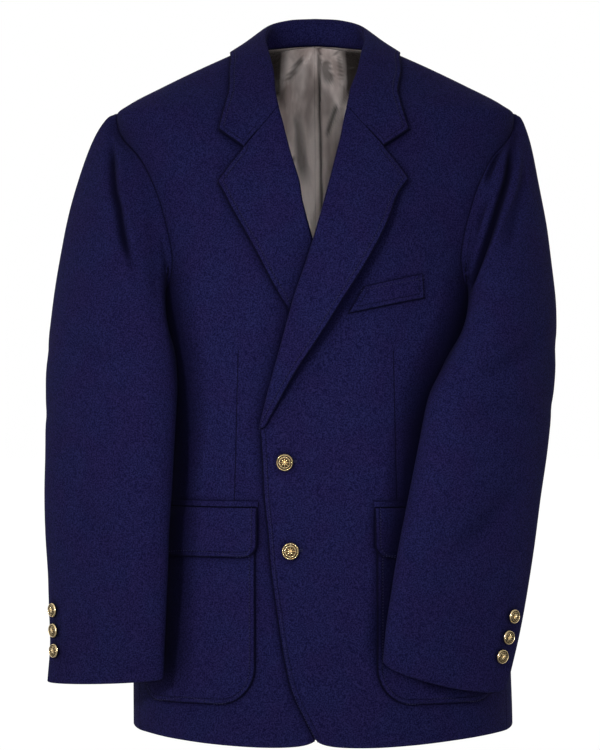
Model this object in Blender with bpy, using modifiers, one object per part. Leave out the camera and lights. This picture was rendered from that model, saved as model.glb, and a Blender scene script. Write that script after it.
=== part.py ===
"""Single breasted blazer, filled out with no wearer in it.

Frame: +X is the wearer's left, -Y the front, +Z up.  The origin is the middle of the
neck, level with the shoulder seams where they meet the collar.  Tables are in
centimetres; CM turns them into metres when a piece is made.
"""
import math

import bmesh
import bpy
from mathutils import Vector
from mathutils.bvhtree import BVHTree

CM = 0.01
NAME = "single_breasted_blazer"

# Cloth walls and the room between pieces.
WALL = 0.24              # body panels and lapels, cloth with its interlining
SLEEVE_WALL = 0.22
COLLAR_WALL = 0.26
POCKET_WALL = 0.20
FLAP_WALL = 0.22
TRIM_WALL = 0.14         # pocket bands and the breast welt
LINING_WALL = 0.10
SEAM = 0.02              # each edge is drawn back this much at a seam
NECK_ROOM = 0.03         # and the collar stand stands this much further off
POCKET_STAND = 0.07      # room under a piece that lies on a front
FLAP_STAND = 0.33        # the flap lies over the patch
LINING_DEPTH = 0.52      # outside of the panel to outside of the lining

# Body form: half width and the depth in front of and behind the shoulder line.
ROUND = 2.25             # power of the superellipse each level follows
BODY = (  # z, half width, front depth, back depth
    (1.8, 4.5, 0.2, 6.8),
    (0.0, 8.4, 1.8, 7.9),
    (-2.0, 12.8, 3.9, 8.9),
    (-4.0, 16.9, 5.6, 9.6),
    (-6.0, 20.7, None, None),
    (-7.0, 21.95, 7.8, 10.4),
    (-8.0, 22.0, None, None),
    (-10.0, None, 9.3, None),
    (-12.0, 21.6, None, 11.3),
    (-14.0, None, 10.9, None),
    (-18.0, 21.0, 12.0, 11.9),
    (-22.0, None, 12.7, None),
    (-24.0, 20.6, None, 12.0),
    (-29.0, 20.5, 13.0, 11.6),
    (-36.0, 19.9, 12.8, 10.7),
    (-44.0, 19.2, 12.5, 10.0),
    (-51.0, 19.6, 12.5, 10.5),
    (-60.0, 20.4, 12.8, 11.8),
    (-68.0, 20.9, 13.1, 12.3),
    (-76.0, 21.0, 13.4, 12.4),
)
SWING = ((-76.0, 0.9), (-45.0, 0.5), (-20.0, 0.1), (2.0, 0.0))   # z, sideways
LAP = (  # z, how far the wearer's left front stands off over the right one
    (-77.0, 0.38), (-50.0, 0.38), (-42.0, 0.72), (-37.0, 0.92), (-22.0, 0.92),
    (-14.0, 0.40), (-8.0, 0.0), (2.0, 0.0),
)
LAP_FULL_X = 5.0
LAP_END_X = 14.0

# Pattern lines of a front, as x and z, and seams as girth c and z.
BREAK_X, BREAK_Z, ROLL_SLOPE = -5.6, -42.1, 0.265
ROLL_TOP_Z = -5.0
GORGE_Z = -7.2
FRONT_EDGE = (
    (-0.2, -74.4), (-1.6, -71.7), (-2.55, -69.7), (-3.4, -66.1), (-4.25, -60.5),
    (-4.8, -56.5), (-5.1, -52.5), (-5.5, -48.4), (BREAK_X, BREAK_Z),
)
FRONT_HEM = ((-0.2, -74.4), (0.5, -75.1), (2.4, -75.5), (6.0, -75.6), (11.0, -75.4),
             (15.0, -75.1), (18.5, -74.8))
SIDE_SEAMS = (0.80, 1.20)          # girth of the two seams of a side panel
HEM_Z = ((0.80, -74.7), (1.00, -74.4), (1.20, -74.3), (1.6, -74.2), (2.0, -74.2))
SHOULDER_TIP_Z = -6.9
NECK_POINT_Z = 0.1
ARMHOLE_FRONT = ((21.5, -9.4), (19.4, -12.0), (18.0, -14.5), (17.0, -17.0),
                 (16.0, -20.7), (15.6, -23.8), (16.3, -26.6), (18.3, -28.3))
ARMHOLE_BOTTOM = ((0.80, -28.7), (1.0, -28.8), (1.20, -28.2))
ARMHOLE_BACK = ((19.0, -25.0), (18.6, -21.0), (18.7, -17.0), (19.4, -13.0),
                (20.6, -9.5))

# Grid counts.
SEAM_ROWS = 14
ARMHOLE_ROWS = 9
EDGE_ROWS = 9
ROLL_ROWS = 9
SHOULDER_COLUMNS = 8
SIDE_COLUMNS = 4
FRONT_NECK_STOPS = (7.0, 6.5, 6.0, 5.5, 5.0, 4.0)
BACK_NECK_STOPS = (0.0, 1.0, 2.0, 2.5, 3.0, 3.5, 4.0)
COLLAR_STOPS = (0.0, 1.0, 2.0, 2.5, 3.0, 3.5, 4.0, 5.0, 5.5, 6.0, 6.5, 7.0, 7.5, 8.0)
LAPEL_ROWS = 13

# Collar, from the middle of the back (stop 0) to the shoulder (4) and the front (6).
COLLAR = (  # seam c, seam z, fold x, y, z, edge c, edge z, size of the fold
    (2.00, 1.50, 0.00, 7.50, 4.42, 2.00, 0.30, 0.62),
    (1.75, 1.35, 2.70, 7.10, 4.24, 1.75, 0.15, 0.62),
    (1.45, 0.95, 4.65, 5.60, 3.62, 1.48, -0.20, 0.62),
    (1.20, 0.45, 5.40, 3.00, 2.60, 1.22, -0.40, 0.60),
    (1.00, 0.10, 5.55, 0.30, 1.20, 1.00, -0.40, 0.56),
    (0.55, -1.20, 5.15, -2.20, -0.45, 0.62, -1.30, 0.50),
    (0.27, -2.80, 4.65, -4.60, -2.72, 0.42, -2.80, 0.42),
)
COLLAR_EDGE_7 = (9.15, -5.5)
COLLAR_TIP = (10.1, -9.5)
NOTCH = (7.15, -11.5)
LAPEL_TIP = (9.95, -15.0)
LAPEL_EDGE = (
    LAPEL_TIP, (8.6, -16.8), (7.35, -20.0), (6.15, -22.5), (3.9, -26.2), (1.5, -30.2),
    (-0.17, -33.3), (-1.7, -35.2), (-3.3, -37.6), (-4.5, -39.8), (-5.2, -41.4),
)
LAPEL_END_Z = -41.5
FOLD_RADIUS = 0.24
LAPEL_EDGE_RISE = {1: 0.55, -1: 0.08}   # how far the outer edge springs up, by side
ROLL_ANGLES = (-90, -120, -150, -180, -225, -270)

# Pockets, as x, girth and z on a front.
PATCH = {"x": 6.45, "c": 0.74, "radius": 4.0,
         "z": (-51.0, -55.0, -59.0, -63.0, -67.1, -68.9, -70.2, -70.9, -71.1)}
FLAP = {"x": 6.2, "c": 0.76, "radius": 1.5,
        "z": (-50.1, -50.75, -52.3, -53.9, -54.8, -55.4)}
BAND = {"x": 6.1, "c": 0.765, "radius": 0.0, "z": (-49.4, -50.0)}
WELT = ((3.5, -29.4), (11.5, -27.7), (11.3, -25.1), (5.1, -26.6))
POCKET_COLUMNS = 8

# Sleeves: each ring lies between a back tip and a front tip, given as the distance
# out from the middle and y; share says how far the ring has left the armhole.
SLEEVES = {
    -1: (  # share, top z, under z, back out, back y, front out, front y, half depth
        (0.00, -9.0, -33.8, 26.0, 4.5, 15.5, -8.5, 6.5),
        (0.12, -9.0, -33.8, 26.0, 4.5, 15.5, -8.5, 6.5),
        (0.30, -13.0, -33.5, 27.3, 3.0, 15.0, -9.8, 6.3),
        (0.52, -18.5, -33.4, 28.2, 1.0, 14.9, -10.6, 6.0),
        (0.76, -24.5, -33.8, 28.8, -1.2, 14.9, -11.2, 5.3),
        (0.93, -30.5, -35.4, 29.0, -3.0, 15.0, -11.6, 4.7),
        (1.00, -37.0, -38.5, 29.1, -4.2, 15.1, -12.0, 4.3),
        (1.00, -44.0, -44.6, 29.15, -5.0, 15.4, -12.3, 3.9),
        (1.00, -51.0, -51.0, 29.3, -5.4, 15.7, -12.5, 3.4),
        (1.00, -58.0, -58.0, 28.9, -5.8, 16.0, -12.7, 3.0),
        (1.00, -64.5, -64.3, 28.75, -6.4, 16.2, -12.2, 2.6),
        (1.00, -69.2, -68.3, 29.05, -7.0, 16.3, -11.6, 1.9),
    ),
    1: (
        (0.00, -9.0, -33.8, 25.0, 4.5, 15.5, -8.5, 6.5),
        (0.12, -9.0, -33.8, 25.0, 4.5, 15.5, -8.5, 6.5),
        (0.30, -13.0, -33.5, 24.8, 3.0, 15.2, -10.0, 6.3),
        (0.52, -18.5, -33.4, 24.5, 1.0, 14.9, -11.5, 6.0),
        (0.76, -24.5, -33.8, 25.3, -1.5, 14.6, -12.8, 5.4),
        (0.93, -30.5, -35.4, 25.8, -3.6, 13.9, -13.8, 4.8),
        (1.00, -37.0, -38.5, 25.5, -5.4, 12.4, -14.6, 4.3),
        (1.00, -44.0, -44.6, 24.8, -7.0, 10.9, -15.4, 3.9),
        (1.00, -51.0, -51.0, 23.9, -8.4, 9.5, -16.0, 3.4),
        (1.00, -57.5, -57.0, 22.95, -9.6, 8.3, -16.4, 2.9),
        (1.00, -63.3, -62.2, 21.9, -10.8, 7.5, -16.6, 2.4),
        (1.00, -69.66, -65.7, 20.4, -11.6, 7.1, -16.5, 1.9),
    ),
}
SLEEVE_STOPS = (0, 0.5, 1, 1.5, 2, 2.5, 3, 3.5, 4, 5, 6, 7, 8, 9, 10, 11)
SLEEVE_TURN = 40.0          # degrees from the shoulder tip to the back tip of a ring
UNDER_SEAM_BACK = 3         # columns of the top sleeve behind the shoulder tip
SLEEVE_START = 0.05         # room between the armhole and the sleeve head
UNDERARM_START = 0.08       # and this much more below the arm
SLEEVE_ROOM = ((0.0, 0.05), (0.5, 0.30), (1.0, 0.36), (2.0, 0.38), (4.0, 0.40),
               (6.0, 0.42), (11.0, 0.45))     # stop, room beside the body

# Metal buttons: profile of a half section, as shares of the radius and of the height.
BUTTON_PROFILE = ((0.0, 0.0), (0.26, 0.0), (0.26, 0.30), (0.86, 0.36), (1.0, 0.52),
                  (0.95, 0.70), (0.84, 0.66), (0.58, 0.88), (0.0, 1.0))
BUTTON_SEGMENTS = 16
FRONT_BUTTON = {"radius": 0.90, "height": 0.58}
CUFF_BUTTON = {"radius": 0.75, "height": 0.50}
BUTTON_ROOM = 0.03
FRONT_BUTTONS = ((-3.2, -45.2), (-2.66, -54.7))
CUFF_BUTTONS = {  # x, y, z the button is sewn near, by side
    -1: ((-28.9, -8.8, -61.3), (-28.9, -8.9, -63.5), (-28.9, -9.0, -65.7)),
    1: ((20.8, -12.6, -61.6), (20.2, -12.9, -63.8), (19.5, -13.2, -65.8)),
}
CUFF_FACING = {-1: (-0.82, -0.57, 0.0), 1: (0.55, -0.83, 0.0)}

COLOURS = {  # base colour, roughness, metallic
    "wool": ((0.012, 0.011, 0.048), 0.85, 0.0),
    "lining": ((0.24, 0.20, 0.20), 0.35, 0.0),
    "brass": ((0.55, 0.38, 0.13), 0.28, 1.0),
}


# ---------------------------------------------------------------- curves and tables

def monotone(xs, ys):
    """Smooth curve through a table column that never overshoots it; xs increase."""
    step = [xs[i + 1] - xs[i] for i in range(len(xs) - 1)]
    rise = [(ys[i + 1] - ys[i]) / step[i] for i in range(len(step))]
    slope = [rise[0]]
    for i in range(1, len(rise)):
        if rise[i - 1] * rise[i] <= 0.0:
            slope.append(0.0)
            continue
        first = 2.0 * step[i] + step[i - 1]
        second = step[i] + 2.0 * step[i - 1]
        slope.append((first + second) / (first / rise[i - 1] + second / rise[i]))
    slope.append(rise[-1])

    def value(x):
        x = min(max(x, xs[0]), xs[-1])
        i = 0
        while i < len(step) - 1 and x > xs[i + 1]:
            i += 1
        t = (x - xs[i]) / step[i]
        h = step[i]
        return ((1 + 2 * t) * (1 - t) ** 2 * ys[i] + t * (1 - t) ** 2 * h * slope[i]
                + t * t * (3 - 2 * t) * ys[i + 1] + t * t * (t - 1) * h * slope[i + 1])

    return value


def column(table, index):
    """Curve of one column of a table whose first column is the place."""
    rows = sorted(row for row in table if row[index] is not None)
    return monotone([row[0] for row in rows], [row[index] for row in rows])


half_width = column(BODY, 1)
front_depth = column(BODY, 2)
back_depth = column(BODY, 3)
swing = column(SWING, 1)
lap_height = column(LAP, 1)
hem_height = column(HEM_Z, 1)
sleeve_room = column(SLEEVE_ROOM, 1)


def smoothstep(t):
    t = min(max(t, 0.0), 1.0)
    return t * t * (3.0 - 2.0 * t)


def spline(points, per_span=12):
    """Dense smooth curve through points of any size."""
    points = [Vector(p) for p in points]
    ends = [2 * points[0] - points[1]] + points + [2 * points[-1] - points[-2]]
    dense = []
    for i in range(1, len(ends) - 2):
        p0, p1, p2, p3 = ends[i - 1:i + 3]
        for k in range(per_span):
            t = k / per_span
            dense.append(0.5 * (2 * p1 + (p2 - p0) * t
                                + (2 * p0 - 5 * p1 + 4 * p2 - p3) * t * t
                                + (3 * p1 - p0 - 3 * p2 + p3) * t ** 3))
    dense.append(points[-1])
    return dense


def at_stop(values, stop):
    """Smooth value between whole stops of a list of points."""
    i = min(int(stop), len(values) - 2)
    t = stop - i
    p1 = values[i]
    p2 = values[i + 1]
    p0 = values[i - 1] if i > 0 else 2 * p1 - p2
    p3 = values[i + 2] if i + 2 < len(values) else 2 * p2 - p1
    return 0.5 * (2 * p1 + (p2 - p0) * t + (2 * p0 - 5 * p1 + 4 * p2 - p3) * t * t
                  + (3 * p1 - p0 - 3 * p2 + p3) * t ** 3)


# ---------------------------------------------------------------- the body form

def girth(x, z):
    """Girth coordinate of a distance x from the middle: 0 front, 1 side, 2 back."""
    share = min(abs(x) / half_width(z), 1.0)
    c = math.asin(share ** (ROUND / 2.0)) * 2.0 / math.pi
    return math.copysign(c, x)


def width_at(c, z):
    s = math.sin(c * math.pi / 2.0)
    return half_width(z) * math.copysign(abs(s) ** (2.0 / ROUND), s)


def body(side, c, z):
    """Point of the body form and its outward direction."""
    s = math.sin(c * math.pi / 2.0)
    co = math.cos(c * math.pi / 2.0)
    a = half_width(z)
    depth = front_depth if co >= 0.0 else back_depth
    b = depth(z)
    u = math.copysign(abs(s) ** (2.0 / ROUND), s)
    v = -math.copysign(abs(co) ** (2.0 / ROUND), co)
    grow_a = (half_width(z + 0.05) - half_width(z - 0.05)) / 0.1
    grow_b = (depth(z + 0.05) - depth(z - 0.05)) / 0.1
    grow_s = (swing(z + 0.05) - swing(z - 0.05)) / 0.1
    gx = math.copysign(abs(u) ** (ROUND - 1.0), u) / a
    gy = math.copysign(abs(v) ** (ROUND - 1.0), v) / b
    gz = -abs(u) ** ROUND * grow_a / a - abs(v) ** ROUND * grow_b / b
    gz -= gx * side * grow_s
    normal = Vector((gx * side, gy, gz)).normalized()
    return Vector((side * a * u + swing(z), b * v, z)), normal


def lap(side, x, z):
    """How far a front stands off the body form: the wearer's left laps over."""
    if side < 0:
        return 0.0
    return lap_height(z) * (1.0 - smoothstep((x - LAP_FULL_X)
                                             / (LAP_END_X - LAP_FULL_X)))


def on_front(side, c, z, height=0.0):
    point, normal = body(side, c, z)
    return point + normal * (lap(side, width_at(c, z), z) + height)


def on_back(side, c, z, height=0.0):
    point, normal = body(side, c, z)
    return point + normal * height


def roll_x(z):
    return BREAK_X + ROLL_SLOPE * (z - BREAK_Z)


def resample(dense, count):
    """Girth and height pairs spaced evenly by length over the cloth."""
    places = [body(1, c, z)[0] for c, z in dense]
    reach = [0.0]
    for one, two in zip(places, places[1:]):
        reach.append(reach[-1] + (two - one).length)
    picked = []
    k = 0
    for i in range(count + 1):
        goal = reach[-1] * i / count
        while k < len(reach) - 2 and reach[k + 1] < goal:
            k += 1
        t = (goal - reach[k]) / max(reach[k + 1] - reach[k], 1e-9)
        picked.append(dense[k].lerp(dense[k + 1], min(max(t, 0.0), 1.0)))
    return picked


def from_xz(points, back=False):
    pairs = []
    for x, z in points:
        c = girth(x, z)
        pairs.append((2.0 - c if back else c, z))
    return pairs


def join(*lines):
    """Lines end to end, with the shared points kept once."""
    joined = list(lines[0])
    for line in lines[1:]:
        joined.extend(line[1:])
    return joined


def straight(start, end, count=24):
    start = Vector(start)
    end = Vector(end)
    return [start.lerp(end, i / count) for i in range(count + 1)]


# ---------------------------------------------------------------- pattern lines

NECK_FRONT = [(girth(roll_x(ROLL_TOP_Z), ROLL_TOP_Z), ROLL_TOP_Z)]
NECK_FRONT += [COLLAR[i][0:2] for i in (6, 5, 4)]
NECK_SEAM = [Vector(COLLAR[i][0:2]) for i in range(7)] + [Vector(NECK_FRONT[0])]


def neck_line(stops):
    return [at_stop(NECK_SEAM, stop) for stop in stops]


def armhole_line():
    """Dense armhole from the shoulder tip down the front, under the arm and back."""
    tip = (1.0, SHOULDER_TIP_Z)
    front = from_xz(ARMHOLE_FRONT)
    back = from_xz(ARMHOLE_BACK, back=True)
    dense = spline([tip] + front + list(ARMHOLE_BOTTOM) + back + [tip])
    first = 12 * (len(front) + 1)
    second = first + 24
    return dense[:first + 1], dense[first:second + 1], dense[second:]


ARM_FRONT, ARM_UNDER, ARM_BACK = armhole_line()
ARM_FRONT = resample(ARM_FRONT, ARMHOLE_ROWS)
ARM_UNDER = resample(ARM_UNDER, SIDE_COLUMNS)
ARM_BACK = resample(ARM_BACK, ARMHOLE_ROWS)
SHOULDER = resample(straight((1.0, NECK_POINT_Z), (1.0, SHOULDER_TIP_Z)),
                    SHOULDER_COLUMNS)


def side_seam(which):
    c = SIDE_SEAMS[which]
    top = ARM_UNDER[0] if which == 0 else ARM_UNDER[-1]
    return resample(straight((c, hem_height(c)), top), SEAM_ROWS)


def hem_line(start, end, count):
    steps = [start + (end - start) * i / 24 for i in range(25)]
    return resample([Vector((c, hem_height(c))) for c in steps], count)


def coons(bottom, top, inner, outer):
    """Grid of girth and height pairs filled in between four lines."""
    rows = len(inner) - 1
    columns = len(bottom) - 1
    grid = []
    for i in range(rows + 1):
        v = i / rows
        row = []
        for j in range(columns + 1):
            u = j / columns
            ruled = bottom[j] * (1 - v) + top[j] * v
            ruled = ruled + inner[i] * (1 - u) + outer[i] * u
            corners = (bottom[0] * (1 - u) + bottom[-1] * u) * (1 - v)
            corners = corners + (top[0] * (1 - u) + top[-1] * u) * v
            row.append(ruled - corners)
        grid.append(row)
    return grid


def front_grid():
    edge = resample(spline(from_xz(FRONT_EDGE)), EDGE_ROWS)
    roll = [Vector((girth(roll_x(z), z), z))
            for z in (BREAK_Z + (ROLL_TOP_Z - BREAK_Z) * i / 30 for i in range(31))]
    inner = join(edge, resample(roll, ROLL_ROWS), neck_line(FRONT_NECK_STOPS))
    outer = join(side_seam(0), list(reversed(ARM_FRONT)))
    hem = from_xz(FRONT_HEM) + [(SIDE_SEAMS[0], hem_height(SIDE_SEAMS[0]))]
    bottom = resample(spline(hem), SHOULDER_COLUMNS)
    return coons(bottom, SHOULDER, inner, outer)


def back_grid():
    neck = neck_line(BACK_NECK_STOPS)
    rows = SEAM_ROWS + ARMHOLE_ROWS - len(BACK_NECK_STOPS) + 1
    middle = resample(straight((2.0, hem_height(2.0)), neck[0]), rows)
    inner = join(middle, neck)
    outer = join(side_seam(1), ARM_BACK)
    bottom = hem_line(2.0, SIDE_SEAMS[1], SHOULDER_COLUMNS)
    return coons(bottom, SHOULDER, inner, outer)


def side_grid():
    bottom = hem_line(SIDE_SEAMS[0], SIDE_SEAMS[1], SIDE_COLUMNS)
    return coons(bottom, ARM_UNDER, side_seam(0), side_seam(1))


# ---------------------------------------------------------------- making pieces

def collection(name):
    made = bpy.data.collections.new(name)
    bpy.context.scene.collection.children.link(made)
    return made


def material(name, kind):
    colour, roughness, metallic = COLOURS[kind]
    made = bpy.data.materials.new(name)
    made.use_nodes = True
    shader = made.node_tree.nodes["Principled BSDF"]
    shader.inputs["Base Color"].default_value = colour + (1.0,)
    shader.inputs["Roughness"].default_value = roughness
    shader.inputs["Metallic"].default_value = metallic
    made.diffuse_color = colour + (1.0,)
    return made


def shrink(grid, gap=SEAM):
    """The same grid with its border drawn in by the gap."""
    grid = [[p.copy() for p in row] for row in grid]
    rows = len(grid)
    columns = len(grid[0])
    for i in range(rows):
        for j, k in ((0, 1), (columns - 1, columns - 2)):
            along = grid[i][k] - grid[i][j]
            grid[i][j] = grid[i][j] + along.normalized() * gap
    for j in range(columns):
        for i, k in ((0, 1), (rows - 1, rows - 2)):
            along = grid[k][j] - grid[i][j]
            grid[i][j] = grid[i][j] + along.normalized() * gap
    return grid


def wall(name, outside, inside, kind, home):
    """Closed piece of cloth between two grids of the same size."""
    outside = shrink(outside)
    inside = shrink(inside)
    rows = len(outside)
    columns = len(outside[0])
    mesh = bpy.data.meshes.new(name)
    bm = bmesh.new()
    skins = []
    for grid in (outside, inside):
        skins.append([[bm.verts.new(p * CM) for p in row] for row in grid])
    for i in range(rows - 1):
        for j in range(columns - 1):
            for skin in skins:
                bm.faces.new((skin[i][j], skin[i][j + 1],
                              skin[i + 1][j + 1], skin[i + 1][j]))
    border = [(0, j) for j in range(columns)]
    border += [(i, columns - 1) for i in range(1, rows)]
    border += [(rows - 1, j) for j in range(columns - 2, -1, -1)]
    border += [(i, 0) for i in range(rows - 2, 0, -1)]
    out, ins = skins
    for one, two in zip(border, border[1:] + border[:1]):
        bm.faces.new((out[one[0]][one[1]], out[two[0]][two[1]],
                      ins[two[0]][two[1]], ins[one[0]][one[1]]))
    bmesh.ops.triangulate(bm, faces=bm.faces, quad_method="SHORT_EDGE")
    bmesh.ops.recalc_face_normals(bm, faces=bm.faces)
    bm.to_mesh(mesh)
    bm.free()
    made = bpy.data.objects.new(name, mesh)
    made.data.materials.append(material(name + "_" + kind, kind))
    home.objects.link(made)
    return made


def laid(place, side, grid, height):
    return [[place(side, c, z, height) for c, z in row] for row in grid]


def panel(name, place, side, grid, home):
    return wall(name, laid(place, side, grid, 0.0), laid(place, side, grid, -WALL),
                "wool", home)


# ---------------------------------------------------------------- lapels and collar

def rolled(side, start, path, radius, rise=0.0):
    """Section that turns round the edge of a front and lies back on it.

    start is the x and z of the edge, path the x and z points of the part that lies
    on the front.  Returns the face that shows and the one below it.
    """
    c, z = girth(start[0], start[1]), start[1]
    rim = on_front(side, c, z)
    normal = body(side, c, z)[1]
    first = Vector(start).lerp(Vector(path[0]), 0.3)
    along = on_front(side, girth(first.x, first.y), first.y) - rim
    along = (along - normal * along.dot(normal)).normalized()
    middle = rim + normal * (radius - WALL / 2) - along * 0.04
    shown = []
    below = []
    for degrees in ROLL_ANGLES:
        angle = math.radians(degrees)
        ray = along * math.cos(angle) + normal * math.sin(angle)
        shown.append(middle + ray * (radius + WALL / 2))
        below.append(middle + ray * (radius - WALL / 2))
    for k, (x, z) in enumerate(path):
        lift = rise * ((k + 1) / len(path)) ** 2
        c = girth(x, z)
        shown.append(on_front(side, c, z, 2 * radius + lift))
        below.append(on_front(side, c, z, 2 * radius - WALL + lift))
    return shown, below


def split_path(start, turn, end, first, second):
    """Points from start to end by way of turn."""
    start, turn, end = Vector(start), Vector(turn), Vector(end)
    points = [start.lerp(turn, (i + 1) / first) for i in range(first)]
    return points + [turn.lerp(end, (i + 1) / second) for i in range(second)]


def even_points(line, count):
    """Points of a line of x and z, evenly spaced, ends included."""
    reach = [0.0]
    for one, two in zip(line, line[1:]):
        reach.append(reach[-1] + (two - one).length)
    picked = []
    k = 0
    for i in range(count + 1):
        goal = reach[-1] * i / count
        while k < len(reach) - 2 and reach[k + 1] < goal:
            k += 1
        t = (goal - reach[k]) / max(reach[k + 1] - reach[k], 1e-9)
        picked.append(line[k].lerp(line[k + 1], min(t, 1.0)))
    return picked


def lapel(side, home):
    gorge = Vector((roll_x(GORGE_Z), GORGE_Z))
    last = Vector((roll_x(LAPEL_END_Z), LAPEL_END_Z))
    edge = even_points(spline(LAPEL_EDGE), LAPEL_ROWS)
    shown = []
    below = []
    for i in range(LAPEL_ROWS + 1):
        v = i / LAPEL_ROWS
        start = gorge.lerp(last, v)
        if i == 0:
            path = split_path(start, NOTCH, LAPEL_TIP, 3, 2)
        else:
            path = [start.lerp(edge[i], (k + 1) / 5) for k in range(5)]
        radius = FOLD_RADIUS - 0.08 * smoothstep((v - 0.85) / 0.15)
        rise = LAPEL_EDGE_RISE[side] * math.sin(math.pi * min(v * 1.15, 1.0)) ** 2
        outer, inner = rolled(side, start, path, radius, rise)
        shown.append(outer)
        below.append(inner)
    word = "left" if side > 0 else "right"
    return wall("lapel_" + word, shown, below, "wool", home)


def bezier(p0, p1, p2, p3, t):
    s = 1.0 - t
    return p0 * s ** 3 + p1 * 3 * s * s * t + p2 * 3 * s * t * t + p3 * t ** 3


def collar_stop(index):
    """Middle line of the collar at one stop, from the neck seam to the edge."""
    c, z, fold_x, fold_y, fold_z, edge_c, edge_z, roll = COLLAR[index]
    seam, normal = body(1, c, z)
    seam = seam - normal * WALL / 2
    before = body(1, *at_stop(NECK_SEAM, max(index - 0.2, 0)))[0]
    after = body(1, *at_stop(NECK_SEAM, index + 0.2))[0]
    fold = Vector((fold_x, fold_y, fold_z))
    off = (after - before).cross(normal).normalized()
    if off.dot(fold - seam) < 0:
        off = -off
    span = seam - fold
    out = (normal - span * (normal.dot(span) / span.length_squared)).normalized()
    edge, edge_normal = body(1, edge_c, edge_z)
    edge = edge + edge_normal * (0.12 + COLLAR_WALL / 2)
    first = fold + out * roll
    last = edge + (first - edge) * 0.4 + edge_normal * 0.20
    line = [bezier(seam, seam + off * span.length * 0.3, fold - out * roll, fold, t)
            for t in (0.0, 0.4, 0.72, 1.0)]
    line += [bezier(fold, first, last, edge, t)
             for t in (0.20, 0.34, 0.48, 0.62, 0.75, 0.88, 1.0)]
    return line


def turned(side, stop):
    """Both faces of the collar where it rolls over the edge of a front, stops 7 to 8."""
    share = stop - 7.0
    level = ROLL_TOP_Z + (GORGE_Z - ROLL_TOP_Z) * share
    start = Vector((roll_x(level), level))
    plain = split_path(start, start.lerp(Vector(COLLAR_EDGE_7), 0.6), COLLAR_EDGE_7, 3, 2)
    bent = split_path(start, NOTCH, COLLAR_TIP, 3, 2)
    path = [one.lerp(two, share) for one, two in zip(plain, bent)]
    return rolled(side, start, path, FOLD_RADIUS)


def collar_half():
    """Middle lines of the wearer's left half of the collar at its whole stops."""
    lines = [collar_stop(i) for i in range(7)]
    for stop in (7.0, 8.0):
        shown, below = turned(1, stop)
        lines.append([(one + two) / 2 for one, two in zip(shown, below)])
    return lines


def neck_edge(side, stop):
    """Both faces of the edge of the stand where it meets the neck seam."""
    point, normal = body(side, *at_stop(NECK_SEAM, stop))
    before = body(side, *at_stop(NECK_SEAM, max(stop - 0.2, 0)))[0]
    after = body(side, *at_stop(NECK_SEAM, min(stop + 0.2, 7)))[0]
    off = normal.cross(after - before).normalized() * side * -NECK_ROOM
    middle = point - normal * WALL / 2 + off
    return (middle + normal * COLLAR_WALL / 2, middle - normal * COLLAR_WALL / 2)


def collar(home):
    lines = collar_half()
    half = []
    for stop in COLLAR_STOPS:
        half.append([at_stop([line[j] for line in lines], stop)
                     for j in range(len(lines[0]))])
    mirrored = [[Vector((-p.x, p.y, p.z)) for p in line] for line in half[:0:-1]]
    middle = mirrored + half
    shown = []
    below = []
    for i, line in enumerate(middle):
        ahead = middle[min(i + 1, len(middle) - 1)]
        behind = middle[max(i - 1, 0)]
        outer = []
        inner = []
        for j, point in enumerate(line):
            down = line[min(j + 1, len(line) - 1)] - line[max(j - 1, 0)]
            normal = (ahead[j] - behind[j]).cross(down).normalized()
            outer.append(point + normal * COLLAR_WALL / 2)
            inner.append(point - normal * COLLAR_WALL / 2)
        shown.append(outer)
        below.append(inner)
    for index, stop in enumerate(COLLAR_STOPS):
        for side in (1, -1):
            place = len(COLLAR_STOPS) - 1 + side * index
            if stop < 7.0:
                pair = neck_edge(side, stop)
                shown[place][0], below[place][0] = pair
            else:
                shown[place], below[place] = turned(side, stop)
    stand = ([row[:4] for row in shown], [row[:4] for row in below])
    fall = ([row[3:] for row in shown], [row[3:] for row in below])
    wall("collar_stand", stand[1], stand[0], "wool", home)
    wall("collar_fall", fall[0], fall[1], "wool", home)


# ---------------------------------------------------------------- pockets

def along_girth(c, z, distance):
    step = (body(1, c + 0.01, z)[0] - body(1, c, z)[0]).length / 0.01
    return c + distance / step


def pocket_grid(shape):
    """Rows of a pocket piece with round lower corners."""
    bottom = shape["z"][-1]
    radius = shape["radius"]
    rows = []
    for z in shape["z"]:
        drop = max(0.0, bottom + radius - z)
        inset = radius - math.sqrt(max(0.0, radius * radius - drop * drop))
        first = along_girth(girth(shape["x"], z), z, inset)
        last = along_girth(shape["c"], z, -inset)
        rows.append([(first + (last - first) * j / POCKET_COLUMNS, z)
                     for j in range(POCKET_COLUMNS + 1)])
    return rows


def on_pocket(name, side, grid, stands, thick, home):
    """Piece that lies on a front, with the room under each of its rows."""
    shown = []
    below = []
    for row, stand in zip(grid, stands):
        shown.append([on_front(side, c, z, stand + thick) for c, z in row])
        below.append([on_front(side, c, z, stand) for c, z in row])
    return wall(name, shown, below, "wool", home)


def pockets(side, word, home):
    grid = pocket_grid(PATCH)
    stands = [POCKET_STAND] * len(grid)
    on_pocket("patch_pocket_" + word, side, grid, stands, POCKET_WALL, home)
    grid = pocket_grid(FLAP)
    stands = [0.10] + [FLAP_STAND] * 3 + [FLAP_STAND + 0.04, FLAP_STAND + 0.06]
    on_pocket("pocket_flap_" + word, side, grid, stands, FLAP_WALL, home)
    grid = pocket_grid(BAND)
    on_pocket("pocket_band_" + word, side, grid, [POCKET_STAND] * 2, TRIM_WALL, home)


def breast_welt(home):
    corners = [Vector(p) for p in WELT]
    grid = []
    for i in range(3):
        first = corners[0].lerp(corners[3], i / 2)
        last = corners[1].lerp(corners[2], i / 2)
        places = [first.lerp(last, j / 6) for j in range(7)]
        grid.append([(girth(x, z), z) for x, z in places])
    on_pocket("breast_welt", 1, grid, [POCKET_STAND] * 3, TRIM_WALL, home)


# ---------------------------------------------------------------- sleeves

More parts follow.
